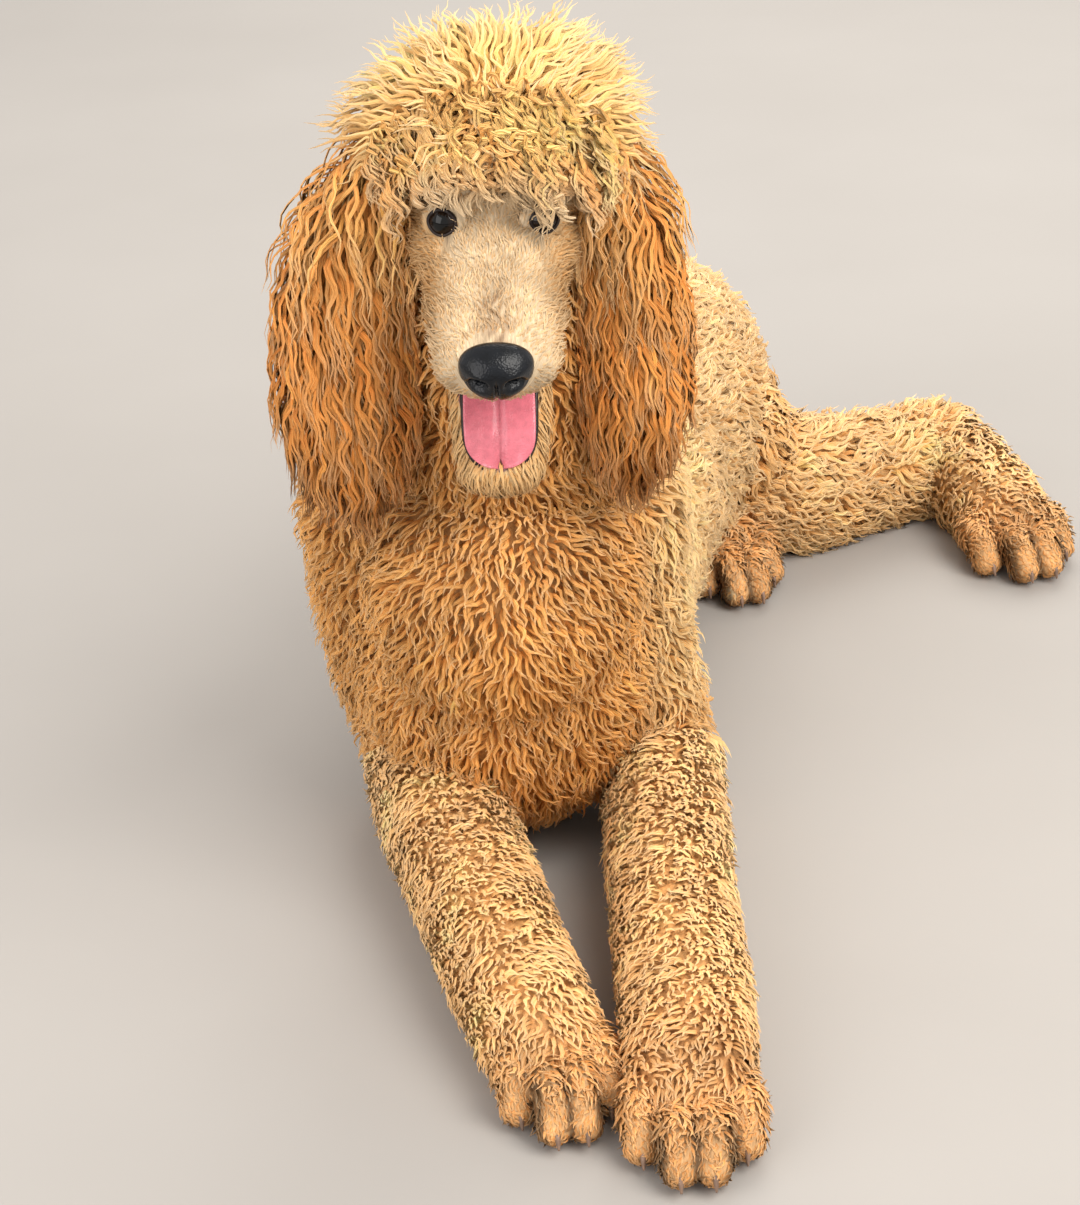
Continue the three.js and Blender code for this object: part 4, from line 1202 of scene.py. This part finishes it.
def together(distance, wave, stray):
    """The phase at their roots of tufts that wave side by side, wave being its length in millimetres."""
    return 2 * np.pi * distance / MM / wave + stray


def bent_lines(roots, normals, sunk, lengths, rings, start, end, bend_from, bend_to):
    """Centre lines from roots sunk into the skin that start one way and bend to another."""
    bend = ease(np.linspace(0, 1, rings)[None, :, None], bend_from, bend_to)
    direction = unit(start[:, None] * (1 - bend) + end[:, None] * bend)
    step = lengths[:, None, None] / (rings - 1)
    return roots[:, None] - normals[:, None] * sunk + np.cumsum(direction * step, 1) - direction[:, :1] * step


def ear_locks(side, seed):
    """The long wavy locks that hang down an ear and past its end."""
    name = f"ear_{side}"
    index = BODY_NAMES.index(name)
    keep = (body_label == index)[body_faces].all(1)
    roots, normals = roots_on(body_points, body_faces, keep, 3.0, seed)
    draw = np.random.default_rng(seed + 1)
    count, rings = len(roots), 12
    low, high = roots[:, 2].min(), roots[:, 2].max()
    down = (high - roots[:, 2]) / (high - low)
    stray = draw.random(count) < 0.12
    sway = 0.3 * ripple(roots, 45, seed + 2) + draw.normal(0, 0.12, count)
    sway = sway + stray * draw.normal(0, 0.35, count)
    ways = turned(np.tile(DOWN, (count, 1)), normals, sway)
    lengths = MM * (66 - 24 * down) * draw.uniform(0.75, 1.15, count)
    share = np.linspace(0, 1, rings)[None, :]
    level = draw.uniform(0.3, 1.0, count)
    deep = EAR_DEPTH * level * (1.7 - 0.7 * ease(down, 0.05, 0.4))
    height = deep[:, None] * MM * np.sin(np.clip(share * 2.2, 0, 1) * np.pi / 2) - MM * (1 - share) ** 4
    centres, facing = grow(touch_body, roots, normals, ways, lengths, height, cling=False, pull=0.35)
    strays = 2.2 * ripple(roots, 42, seed + 3) + draw.normal(0, 0.6, count)
    phase = together(high - roots[:, 2], EAR_WAVE, strays)
    turns = lengths / MM / EAR_WAVE * draw.uniform(0.85, 1.15, count)
    centres = waved(centres, facing, MM * draw.uniform(1.4, 3.2, count), turns, phase, 0.6)
    centres = gathered(centres, 0.16, 0.62)
    label = np.full(count, index)
    # Painted shade: locks that lie nearer the ear are darker.
    tint = body_colour(roots, label) * draw.uniform(0.8, 1.2, (count, 1)) * (0.74 + 0.36 * level)[:, None]
    widths = MM * draw.uniform(0.9, 1.7, count)
    solid_tufts(
        f"locks_{name}", centres, facing, widths, widths * 0.55,
        lambda s: (1 - s**1.6) ** 0.8 * (0.5 + 0.5 * ease(s, 0, 0.25)) + 0.04,
        tint, body_chart(roots, label), ear_hair,
    )


ear_locks("right", 121)
ear_locks("left", 122)


def topknot_locks(seed):
    """The long frizzy locks that stream from the brow over the crown and out to the sides, in two halves."""
    place = to_head(head_points)
    pouf = (place - np.array(POUF_AT)) / (np.array(POUF_RADII) - TOPKNOT_DEPTH)
    on_pouf = (np.linalg.norm(pouf, axis=1) > 0.84) & (head_in_body > -4 * MM) & (place[:, 2] > -12)
    on_pouf &= (place[:, 1] < -32) | (place[:, 2] > 38)
    roots, normals = roots_on(head_points, head_faces, on_pouf[head_faces].all(1), 2.7, seed)
    draw = np.random.default_rng(seed + 1)
    count, rings = len(roots), 12
    brow = in_head(BROW_AT) * MM
    away = unit(roots - brow)
    ways = unit(away - normals * dot(away, normals))
    left, forward, up = to_head(roots).T
    distance = np.linalg.norm(roots - brow, axis=1) / MM
    near = 1 - ease(distance, 12, 45)
    turn = 0.45 * ripple(roots, 30, seed + 2) + draw.normal(0, 0.2, count)
    ways = turned(ways, normals, turn + 1.2 * near * ripple(roots, 16, seed + 4))
    falls = (1 - ease(up, 0, 36))[:, None]
    stray = draw.random(count) < 0.1
    nape = falls * ease(-forward, 50, 90)[:, None]
    start = unit(normals * (0.6 + 0.4 * falls - 0.75 * nape) + ways * 0.7 * (1 - falls) + DOWN * nape)
    end = unit(ways * (1 - falls) + DOWN * 1.2 * falls + normals * (0.2 + 0.6 * stray)[:, None])
    peak = np.exp(-(((left - 24) / 14) ** 2))
    back = ease(-forward, 45, 85) * (1 - falls[:, 0])
    lengths = MM * draw.uniform(38, 54, count) * (0.6 + 0.4 * ease(distance, 5, 45))
    lengths *= (1 - 0.35 * back * (1 - peak)) * (1 + 0.3 * falls[:, 0])
    centres = bent_lines(roots, normals, 2 * MM, lengths, rings, start, end + DOWN * 0.12, 0.0, 0.9)
    facing = np.repeat(normals[:, None], rings, 1)
    strays = 1.6 * ripple(roots, 45, seed + 3) + draw.normal(0, 0.55, count)
    phase = together(distance * MM, TOPKNOT_WAVE, strays)
    turns = lengths / MM / TOPKNOT_WAVE * draw.uniform(0.85, 1.2, count)
    centres = waved(centres, facing, MM * draw.uniform(1.3, 2.8, count), turns, phase, 0.8)
    centres = gathered(centres, 0.14, 0.5)
    tint = head_colour(roots + normals * 25 * MM) * draw.uniform(0.9, 1.15, (count, 1))
    widths = MM * draw.uniform(1.2, 2.0, count)
    for name, half in (("topknot_left", left >= 0), ("topknot_right", left < 0)):
        solid_tufts(
            name, centres[half], facing[half], widths[half], widths[half] * 0.6,
            lambda s: (1 - s**1.5) ** 0.8 * (0.6 + 0.4 * ease(s, 0, 0.25)) + 0.04,
            tint[half], head_chart(roots[half]), topknot_hair,
        )


topknot_locks(131)


def brow_ringlets(seed):
    """Ringlets that hang from the front of the topknot to just above the eyes."""
    place = to_head(head_points)
    left, forward, up = place.T
    on_brow = (np.abs(left) < 54) & (forward > -52) & (up > 19 - 0.3 * np.abs(left)) & (up < 62)
    roots, normals = roots_on(head_points, head_faces, on_brow[head_faces].all(1), 2.5, seed)
    draw = np.random.default_rng(seed + 1)
    count, rings = len(roots), 16
    left, forward, up = to_head(roots).T
    ahead = unit(in_head(np.stack([left * 0.028, np.ones(count), np.full(count, 0.2)], 1)) - HEAD_ZERO)
    ways = turned(ahead, normals, 0.7 * ripple(roots, 24, seed + 2) + draw.normal(0, 0.3, count))
    # Some strands hang in front of the left eye; the others end above the eyes.
    over_eye = np.where((left > 8) & (draw.random(count) < 0.4), -22, 5)
    lowest = 20 + over_eye * np.exp(-(((np.abs(left) - 24) / 9) ** 2)) - 38 * ease(np.abs(left), 34, 50)
    lengths = MM * (np.clip(up - lowest, 1, 46) * draw.uniform(0.7, 1.1, count) + 12)
    start = unit(ways * 0.7 + normals * 0.9)
    centres = bent_lines(roots, normals, MM, lengths, rings, start, DOWN + ways * 0.35, 0.1, 0.8)
    facing = np.repeat(ahead[:, None], rings, 1)
    turns = lengths / MM / draw.uniform(13, 17, count)
    phase = 2.5 * ripple(roots, 16, seed + 3) + draw.normal(0, 0.4, count)
    centres = waved(centres, facing, MM * draw.uniform(2.4, 4.2, count), turns, phase, 1.0)
    centres = gathered(centres, 0.16, 0.6)
    tint = head_colour(roots) * draw.uniform(0.88, 1.15, (count, 1))
    widths = MM * draw.uniform(1.1, 1.9, count)
    solid_tufts(
        "ringlets_brow", centres, facing, widths, widths * 0.7,
        lambda s: (1 - s**2) ** 0.8 * (0.6 + 0.4 * ease(s, 0, 0.2)) + 0.05,
        tint, head_chart(roots), topknot_hair,
    )


brow_ringlets(135)


def short_taper(share):
    """The share of a short tuft's width that is left towards its tip."""
    return 0.95 * (1 - share**2) + 0.05


def face_lie(points, normals):
    """The way that short hair lies on the face: up the bridge, back over the cheeks and down the chin."""
    left, _, up = to_head(points).T
    back = np.stack([np.sign(left) * 0.35, -np.ones(len(left)), np.where(up < -40, -0.9, -0.05)], 1)
    side = np.clip(np.abs(left) / 26, 0, 1)
    back[:, 0] *= side
    back[:, 2] -= 0.5 * side
    chin = ease(-up, 58, 78)[:, None]
    way_head = back * (1 - chin) + np.array((0, 0.35, -1.0)) * chin
    way = in_head(way_head) - HEAD_ZERO
    return unit(way - normals * dot(way, normals))


def face_tufts():
    """Short hair over the muzzle, cheeks and chin, longest on the chin."""
    place = to_head(head_points)
    left, forward, up = place.T
    hidden = np.zeros(len(place), bool)
    for side in SIDES.values():
        hidden |= past_lids(place, side) < 0.1
    hidden |= np.linalg.norm((place - np.array(NOSE_AT)) / (19, 17, 16), axis=1) < 1
    hidden |= (np.abs(left) < 20) & (forward < 87) & (up < -39) & (up > -0.42 * (forward - 4) - 65)
    keep = (forward > -46) & (up < 42) & ~hidden & (head_in_body > -1 * MM)
    roots, normals = roots_on(head_points, head_faces, keep[head_faces].all(1), 2.0, 141)
    draw = np.random.default_rng(142)
    count, rings = len(roots), 4
    left, forward, up = to_head(roots).T
    turn = 0.3 * ripple(roots, 22, 143) + draw.normal(0, 0.22, count)
    ways = turned(face_lie(roots, normals), normals, turn)
    chin = ease(-up, 62, 86)
    back = 1 - ease(forward, -34, 0)
    edge = ease(np.abs(left), 16, 34) * ease(-up, 2, 20) * (1 - ease(forward, 72, 92))
    lengths = MM * (6 + 8 * chin + 8 * back + 5 * edge) * draw.uniform(0.75, 1.3, count)
    share = np.linspace(0, 1, rings)[None, :]
    lift = (1.3 + 1.8 * chin + 2.5 * back + 2.4 * edge) * draw.uniform(0.5, 1.5, count)
    height = lift[:, None] * MM * share**0.8 - 0.5 * MM * (1 - share) ** 3
    centres, facing = grow(touch_head, roots, normals, ways, lengths, height)
    size = MM * draw.uniform(0.2, 0.7, count)
    centres = waved(centres, facing, size, np.full(count, 0.7), draw.uniform(0, 6.28, count), 0.3)
    tint = head_colour(roots) * draw.uniform(0.85, 1.15, (count, 1))
    widths = MM * draw.uniform(0.5, 0.8, count) * (1 + 0.4 * chin + 0.4 * back)
    solid_tufts(
        "hair_face", centres, facing, widths, widths * 0.5, short_taper,
        tint, head_chart(roots), face_hair,
    )


face_tufts()


def foot_tufts():
    """Hair over the toes, long and curly at their backs and short at their tips."""
    keep = (feet_points[:, 2] > 3 * MM)[feet_faces].all(1)
    roots, normals = roots_on(feet_points, feet_faces, keep, 2.5, 151)
    label, _ = labels_for(roots, BODY_LIST)
    draw = np.random.default_rng(152)
    count, rings = len(roots), 4
    behind, cleft = among_toes(roots)
    longer = ease(behind, 0, 16)
    ways = lie_on_body(roots, normals, label)
    ways = turned(ways, normals, 0.6 * ripple(roots, 15, 153) + draw.normal(0, 0.35, count))
    share = np.linspace(0, 1, rings)[None, :]
    lift = MM * draw.uniform(0.7, 1.8, count) * (1 + 3.2 * longer)
    height = lift[:, None] * share**0.8 - 0.5 * MM * (1 - share) ** 3
    lengths = MM * draw.uniform(4, 7, count) * (1 + 0.9 * longer)
    centres, facing = grow(touch_feet, roots, normals, ways, lengths, height)
    size = MM * draw.uniform(0.3, 0.8, count) * (1 + longer)
    centres = waved(centres, facing, size, np.full(count, 0.9), draw.uniform(0, 6.28, count), 0.5)
    # Painted shade: hair in the clefts between the toes is darker.
    tint = body_colour(roots, label) * draw.uniform(0.8, 1.2, (count, 1)) * (1 - 0.7 * cleft)[:, None]
    widths = MM * draw.uniform(0.8, 1.3, count) * (1 + 0.3 * longer)
    solid_tufts(
        "hair_feet", centres, facing, widths, widths * 0.6, short_taper,
        tint, body_chart(roots, label), foot_hair,
    )


foot_tufts()

# Eyes, lids, lips, nose, tongue and claws.


def turned_over(faces):
    return [tuple(reversed(face)) for face in faces]


def placed(name, points, faces, material, slot, replaced=()):
    """A finished piece from points in the head's millimetres."""
    made = piece(name, in_head(points) * MM, faces)
    made.data.materials.append(material)
    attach(made, "root")
    if replaced:
        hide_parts(*replaced)
    return made


def eye_material():
    """Pupil, iris and the dark white of the eye in rings round the gaze, under a wet gloss."""
    material, tree, shader = new_material("wet dark brown eye")
    place = add_node(tree, "ShaderNodeTexCoord").outputs["Object"]
    fibres = add_node(tree, "ShaderNodeTexNoise", {"Vector": place, "Scale": 900.0, "Detail": 3.0})
    ramp = add_node(tree, "ShaderNodeValToRGB", {"Fac": attribute(tree, "from_gaze", "Fac")})
    stops = ramp.color_ramp.elements
    for index, (position, colour) in enumerate(EYE_RINGS):
        stop = stops[index] if index < 2 else stops.new(position)
        stop.position = position
        stop.color = (*colour, 1)
    shade = ranged(tree, fibres.outputs["Fac"], 0.3, 0.7, 0.6, 1.3)
    fill_in(tree, shader, {
        "Base Color": mixed(tree, "MULTIPLY", 1.0, ramp.outputs["Color"], shade),
        "Roughness": 0.06, "Specular IOR Level": 0.3,
    })
    return material


wet_eye = eye_material()


def make_eye(side_name, side):
    """An eyeball with its cornea raised over the iris."""
    outward, gaze, upward = eye_axes(side)
    place = np.array(EYE_AT) * (side, 1, 1)
    rows, sides = 26, 36
    angle, turn = ball_angles(rows, sides)
    angles = np.concatenate([angle.ravel(), [0, np.pi]])
    turns = np.concatenate([turn.ravel(), [0, 0]])
    radius = EYE_RADIUS + 0.9 * np.exp(-((angles / 0.42) ** 2))
    around = np.cos(turns)[:, None] * outward + np.sin(turns)[:, None] * upward * side
    points = place + radius[:, None] * (np.cos(angles)[:, None] * gaze + np.sin(angles)[:, None] * around)
    faces = turned_over(closed_faces(rows - 1, sides))
    eye = placed(f"eyeball_{side_name}", points, faces, wet_eye, "eye", [f"eye_{side_name}"])
    set_attribute(eye.data, "from_gaze", "FLOAT", "value", angles / 1.35)


def pebbled_material(name, colour, roughness, clouds, scale, bump, coat=0.0, specular=0.5):
    """A finish of one colour with fine pebbles in its shade and relief."""
    material, tree, shader = new_material(name)
    values = {"Tint": (*colour, 1), "Clouds": clouds, "Scale": scale}
    pebbles = add_node(tree, "ShaderNodeGroup", values, node_tree=pebble_group).outputs
    fill_in(tree, shader, {
        "Base Color": pebbles["Colour"], "Normal": relief(tree, pebbles["Height"], bump, 0.0004),
        "Roughness": roughness, "Specular IOR Level": specular, "Coat Weight": coat, "Coat Roughness": 0.15,
    })
    return material


lip_leather = pebbled_material("black lip edge", LIP_COLOUR, 0.35, 0.3, 700, 0.5, specular=0.25)
nose_leather = pebbled_material("moist black nose leather", NOSE_COLOUR, 0.24, 0.4, 900, 0.4, specular=0.28)
tongue_flesh = pebbled_material("moist pink tongue", TONGUE_COLOUR, 0.38, 0.12, 1100, 0.6, coat=0.3)
claw_horn = pebbled_material("dull horn claws", CLAW_COLOUR, 0.42, 0.35, 600, 0.3)


def swept(centres, ups, widths, heights, sides=12):
    """A closed tube along its centres, with rounded ends where its last sizes are small."""
    centres = np.asarray(centres, float)
    ahead = unit(np.gradient(centres, axis=0))
    side = unit(np.cross(ahead, ups))
    over = np.cross(side, ahead)
    turn = np.arange(sides) * 2 * np.pi / sides
    ring = -np.cos(turn)[None, :, None] * side[:, None] * np.asarray(widths)[:, None, None]
    ring = ring + np.sin(turn)[None, :, None] * over[:, None] * np.asarray(heights)[:, None, None]
    rings = centres[:, None] + ring
    points = np.vstack([rings.reshape(-1, 3), centres[:1], centres[-1:]])
    return points, closed_faces(len(centres), sides)


def make_lids(name, side):
    """The dark rims of both lids: one closed ring that hugs the eyeball and sinks under the skin."""
    outward, gaze, upward = eye_axes(side)
    count, sides = 56, len(LID_PROFILE)
    turn = np.arange(count) * 2 * np.pi / count
    around = np.cos(turn)[:, None] * outward + np.sin(turn)[:, None] * upward
    rings = []
    for wide, high in LID_PROFILE:
        angle = lid_opening(turn) + wide * (1 + 0.2 * np.sin(turn))
        way = np.cos(angle)[:, None] * gaze + np.sin(angle)[:, None] * around
        rings.append(np.array(EYE_AT) * (side, 1, 1) + (EYE_RADIUS + 0.15 + high) * way)
    faces = []
    for low in range(0, count * sides, sides):
        high = (low + sides) % (count * sides)
        faces += [(low + k, low + (k + 1) % sides, high + (k + 1) % sides, high + k) for k in range(sides)]
    if side < 0:
        faces = turned_over(faces)
    placed(name, np.stack(rings, 1).reshape(-1, 3), faces, lip_leather, "nose_leather")


def make_lip(name, stages, side, top):
    """The dark edge of a lip, from the corner of the mouth to its middle."""
    t = np.linspace(0, 1, 28)
    rows = spline(stages, t)
    rows[:, 0] *= side
    ends = np.sqrt(1 - (2 * t - 1) ** 8) * 0.95 + 0.05
    wave = 1 + 0.12 * np.sin(t * 31) * (not top)
    size = 0.5 if top else 0.32
    shell = swept(rows[:, :3], (0, 0.2, 1), rows[:, 3] * ends * size, rows[:, 4] * ends * wave * size)
    placed(name, *shell, lip_leather, "nose_leather")


def make_nose():
    """The nose leather: broad above, narrow below, with comma nostrils and a groove down its middle."""
    rows, sides = 64, 96
    polar, turn = ball_angles(rows, sides)
    around = np.stack([np.sin(polar) * np.cos(turn), np.cos(polar), np.sin(polar) * np.sin(turn)], -1)
    x, y, z = np.vstack([around.reshape(-1, 3), [[0, 1, 0], [0, -1, 0]]]).T
    wide = NOSE_SIZE[0] * (1 + 0.10 * z - 0.06 * z * z) * (1 - 0.16 * ease(y, 0.1, 1.0))
    deep = np.where(y > 0, NOSE_SIZE[1], NOSE_SIZE[2])
    squared = (np.abs(x) ** 2.2 + np.abs(y) ** 2.2 + np.abs(z) ** 2.4) ** (-1 / 2.25)
    place = np.stack([x * wide, y * deep, z * NOSE_SIZE[3]], 1) * squared[:, None]
    for side in SIDES.values():
        for left, up, size, depth in NOSTRIL:
            off = ((place[:, 0] - side * left) / size) ** 2 + ((place[:, 2] - up) / size) ** 2
            near = np.exp(-off * 1.1) * (y > 0)
            place[:, 1] -= near * depth
            place[:, 0] -= near * side * depth * 0.25
        rim = np.exp(-(((place[:, 0] - side * 9.5) / 5.0) ** 2 + ((place[:, 2] - 6.6) / 2.6) ** 2)) * (y > 0)
        place[:, 1] += rim * 1.6
    groove = np.exp(-((place[:, 0] / 1.2) ** 2)) * ease(-place[:, 2], -9, 0) * (y > 0)
    place[:, 1] -= groove * 1.8
    faces = turned_over(closed_faces(rows - 1, sides))
    placed("nose_leather", place + np.array(NOSE_AT), faces, nose_leather, "nose_leather", ["nose"])


def make_tongue():
    """The tongue: cupped, grooved down its middle and rounded at its tip."""
    rows, sides = 60, 48
    t = np.linspace(0, 1, rows)
    line = spline(TONGUE, t)
    centres = line[:, :3] + np.array((0, 0, 0.5))
    ahead = unit(np.gradient(centres, axis=0))
    over = unit(np.cross(np.array((1.0, 0, 0)), ahead))
    half = line[:, 3] * 1.04 * np.sqrt(np.clip(1 - np.clip((t - 0.70) / 0.3, 0, 1) ** 2.2, 0.003, 1))
    turn = np.arange(sides) * 2 * np.pi / sides
    u = -np.cos(turn)
    v = np.sign(np.sin(turn)) * np.abs(np.sin(turn)) ** 0.8
    thick = (2.9 * (half / half.max()) ** 0.5)[:, None] * v[None]
    cup = 3.4 * np.abs(u[None]) ** 2.4 - 3.2 * np.exp(-((u[None] * half[:, None] / 1.5) ** 2)) * (v[None] > 0)
    cup = cup - 0.5 * np.exp(-(((np.abs(u[None]) * half[:, None] - 8) / 1.6) ** 2)) * (v[None] > 0)
    cup = cup * ease(half, 1, 7)[:, None]
    points = centres[:, None] + u[None, :, None] * half[:, None, None] * np.array((1.0, 0, 0))
    points = points + over[:, None] * (thick + cup)[..., None]
    points = np.vstack([points.reshape(-1, 3), centres[:1], centres[-1:]])
    placed("tongue_flesh", points, closed_faces(rows, sides), tongue_flesh, "tongue", ["tongue"])


def make_claws(foot):
    """A foot's four claws, curved down and ridged where they grow."""
    shells = []
    for stages in toe_forms(foot)[1]:
        t = np.linspace(0, 1, 18)
        rows = spline(stages, t)
        ridges = 1 + 0.03 * np.sin(t * 60)
        size = rows[:, 3] * ridges * np.where(t < 0.06, 0.8, 1) * (1 - 0.25 * t)
        shells.append(swept(rows[:, :3], (0, 0, 1), size * 0.85, size * 1.1, 14))
    points, faces = joined(shells)
    made = piece(f"claws_{foot}", points * MM, faces)
    made.data.materials.append(claw_horn)
    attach(made, "root")
    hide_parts(*[f"{foot}_claw_{index}" for index in (1, 2, 3, 4)])


for side_name, side in SIDES.items():
    make_eye(side_name, side)
    make_lids(f"lids_{side_name}", side)
    make_lip(f"upper_lip_{side_name}", UPPER_LIP, side, True)
    make_lip(f"lower_lip_{side_name}", LOWER_LIP, side, False)
make_nose()
make_tongue()
for foot in FEET:
    make_claws(foot)

# The floor, the lights and the camera.


def make_floor():
    floor = piece("floor", [(-8, -8, 0), (8, -8, 0), (8, 10, 0), (-8, 10, 0)], [(0, 1, 2, 3)])
    material, tree, shader = new_material("pale floor")
    place = add_node(tree, "ShaderNodeTexCoord").outputs["Object"]
    cloud = add_node(tree, "ShaderNodeTexNoise", {"Vector": place, "Scale": 3.0, "Detail": 3.0})
    tone = add_node(tree, "ShaderNodeValToRGB", {"Fac": cloud.outputs["Fac"]})
    for stop, colour in zip(tone.color_ramp.elements, FLOOR_COLOURS):
        stop.color = colour
    fill_in(tree, shader, {"Base Color": tone.outputs["Color"], "Roughness": 0.8})
    floor.data.materials.append(material)


def add_light(name, place, target, size, power, colour):
    light = bpy.data.lights.new(name, "AREA")
    light.size = size
    light.energy = power
    light.color = colour
    made = bpy.data.objects.new(name, light)
    made.location = place
    made.rotation_euler = (Vector(target) - Vector(place)).to_track_quat("-Z", "Y").to_euler()
    bpy.context.scene.collection.objects.link(made)


CAMERA_AT = (0.0, -1.65, 1.00)
CAMERA_PITCH = math.radians(28.3)
CAMERA_ROLL = math.radians(-1.6)
FOCAL_PIXELS = 3000
IMAGE_HEIGHT = 1205


def add_camera():
    camera = bpy.data.cameras.new("camera")
    camera.sensor_width = 36
    camera.lens = 36 * FOCAL_PIXELS / IMAGE_HEIGHT
    made = bpy.data.objects.new("camera", camera)
    cos, sin = math.cos(CAMERA_PITCH), math.sin(CAMERA_PITCH)
    ahead, level, rise = Vector((0, cos, -sin)), Vector((1, 0, 0)), Vector((0, sin, cos))
    right = level * math.cos(CAMERA_ROLL) + rise * math.sin(CAMERA_ROLL)
    up = rise * math.cos(CAMERA_ROLL) - level * math.sin(CAMERA_ROLL)
    made.matrix_world = Matrix.Translation(CAMERA_AT) @ Matrix((right, up, -ahead)).transposed().to_4x4()
    bpy.context.scene.collection.objects.link(made)
    bpy.context.scene.camera = made


make_floor()
add_light("window_light", (1.3, -1.2, 2.2), (0.05, 0, 0.2), 1.8, 76, (1.0, 0.97, 0.92))
add_light("fill_light", (-1.8, -1.6, 1.3), (0, 0, 0.2), 2.0, 32, (1.0, 0.97, 0.95))
add_light("rim_light", (0.4, 1.9, 1.9), (0, 0, 0.3), 1.6, 38, (1.0, 0.96, 0.9))
world = bpy.data.worlds.new("soft studio")
world.use_nodes = True
world.node_tree.nodes["Background"].inputs["Color"].default_value = (1.0, 0.97, 0.94, 1)
world.node_tree.nodes["Background"].inputs["Strength"].default_value = 0.92
bpy.context.scene.world = world
bpy.context.scene.view_settings.view_transform = "Standard"
add_camera()
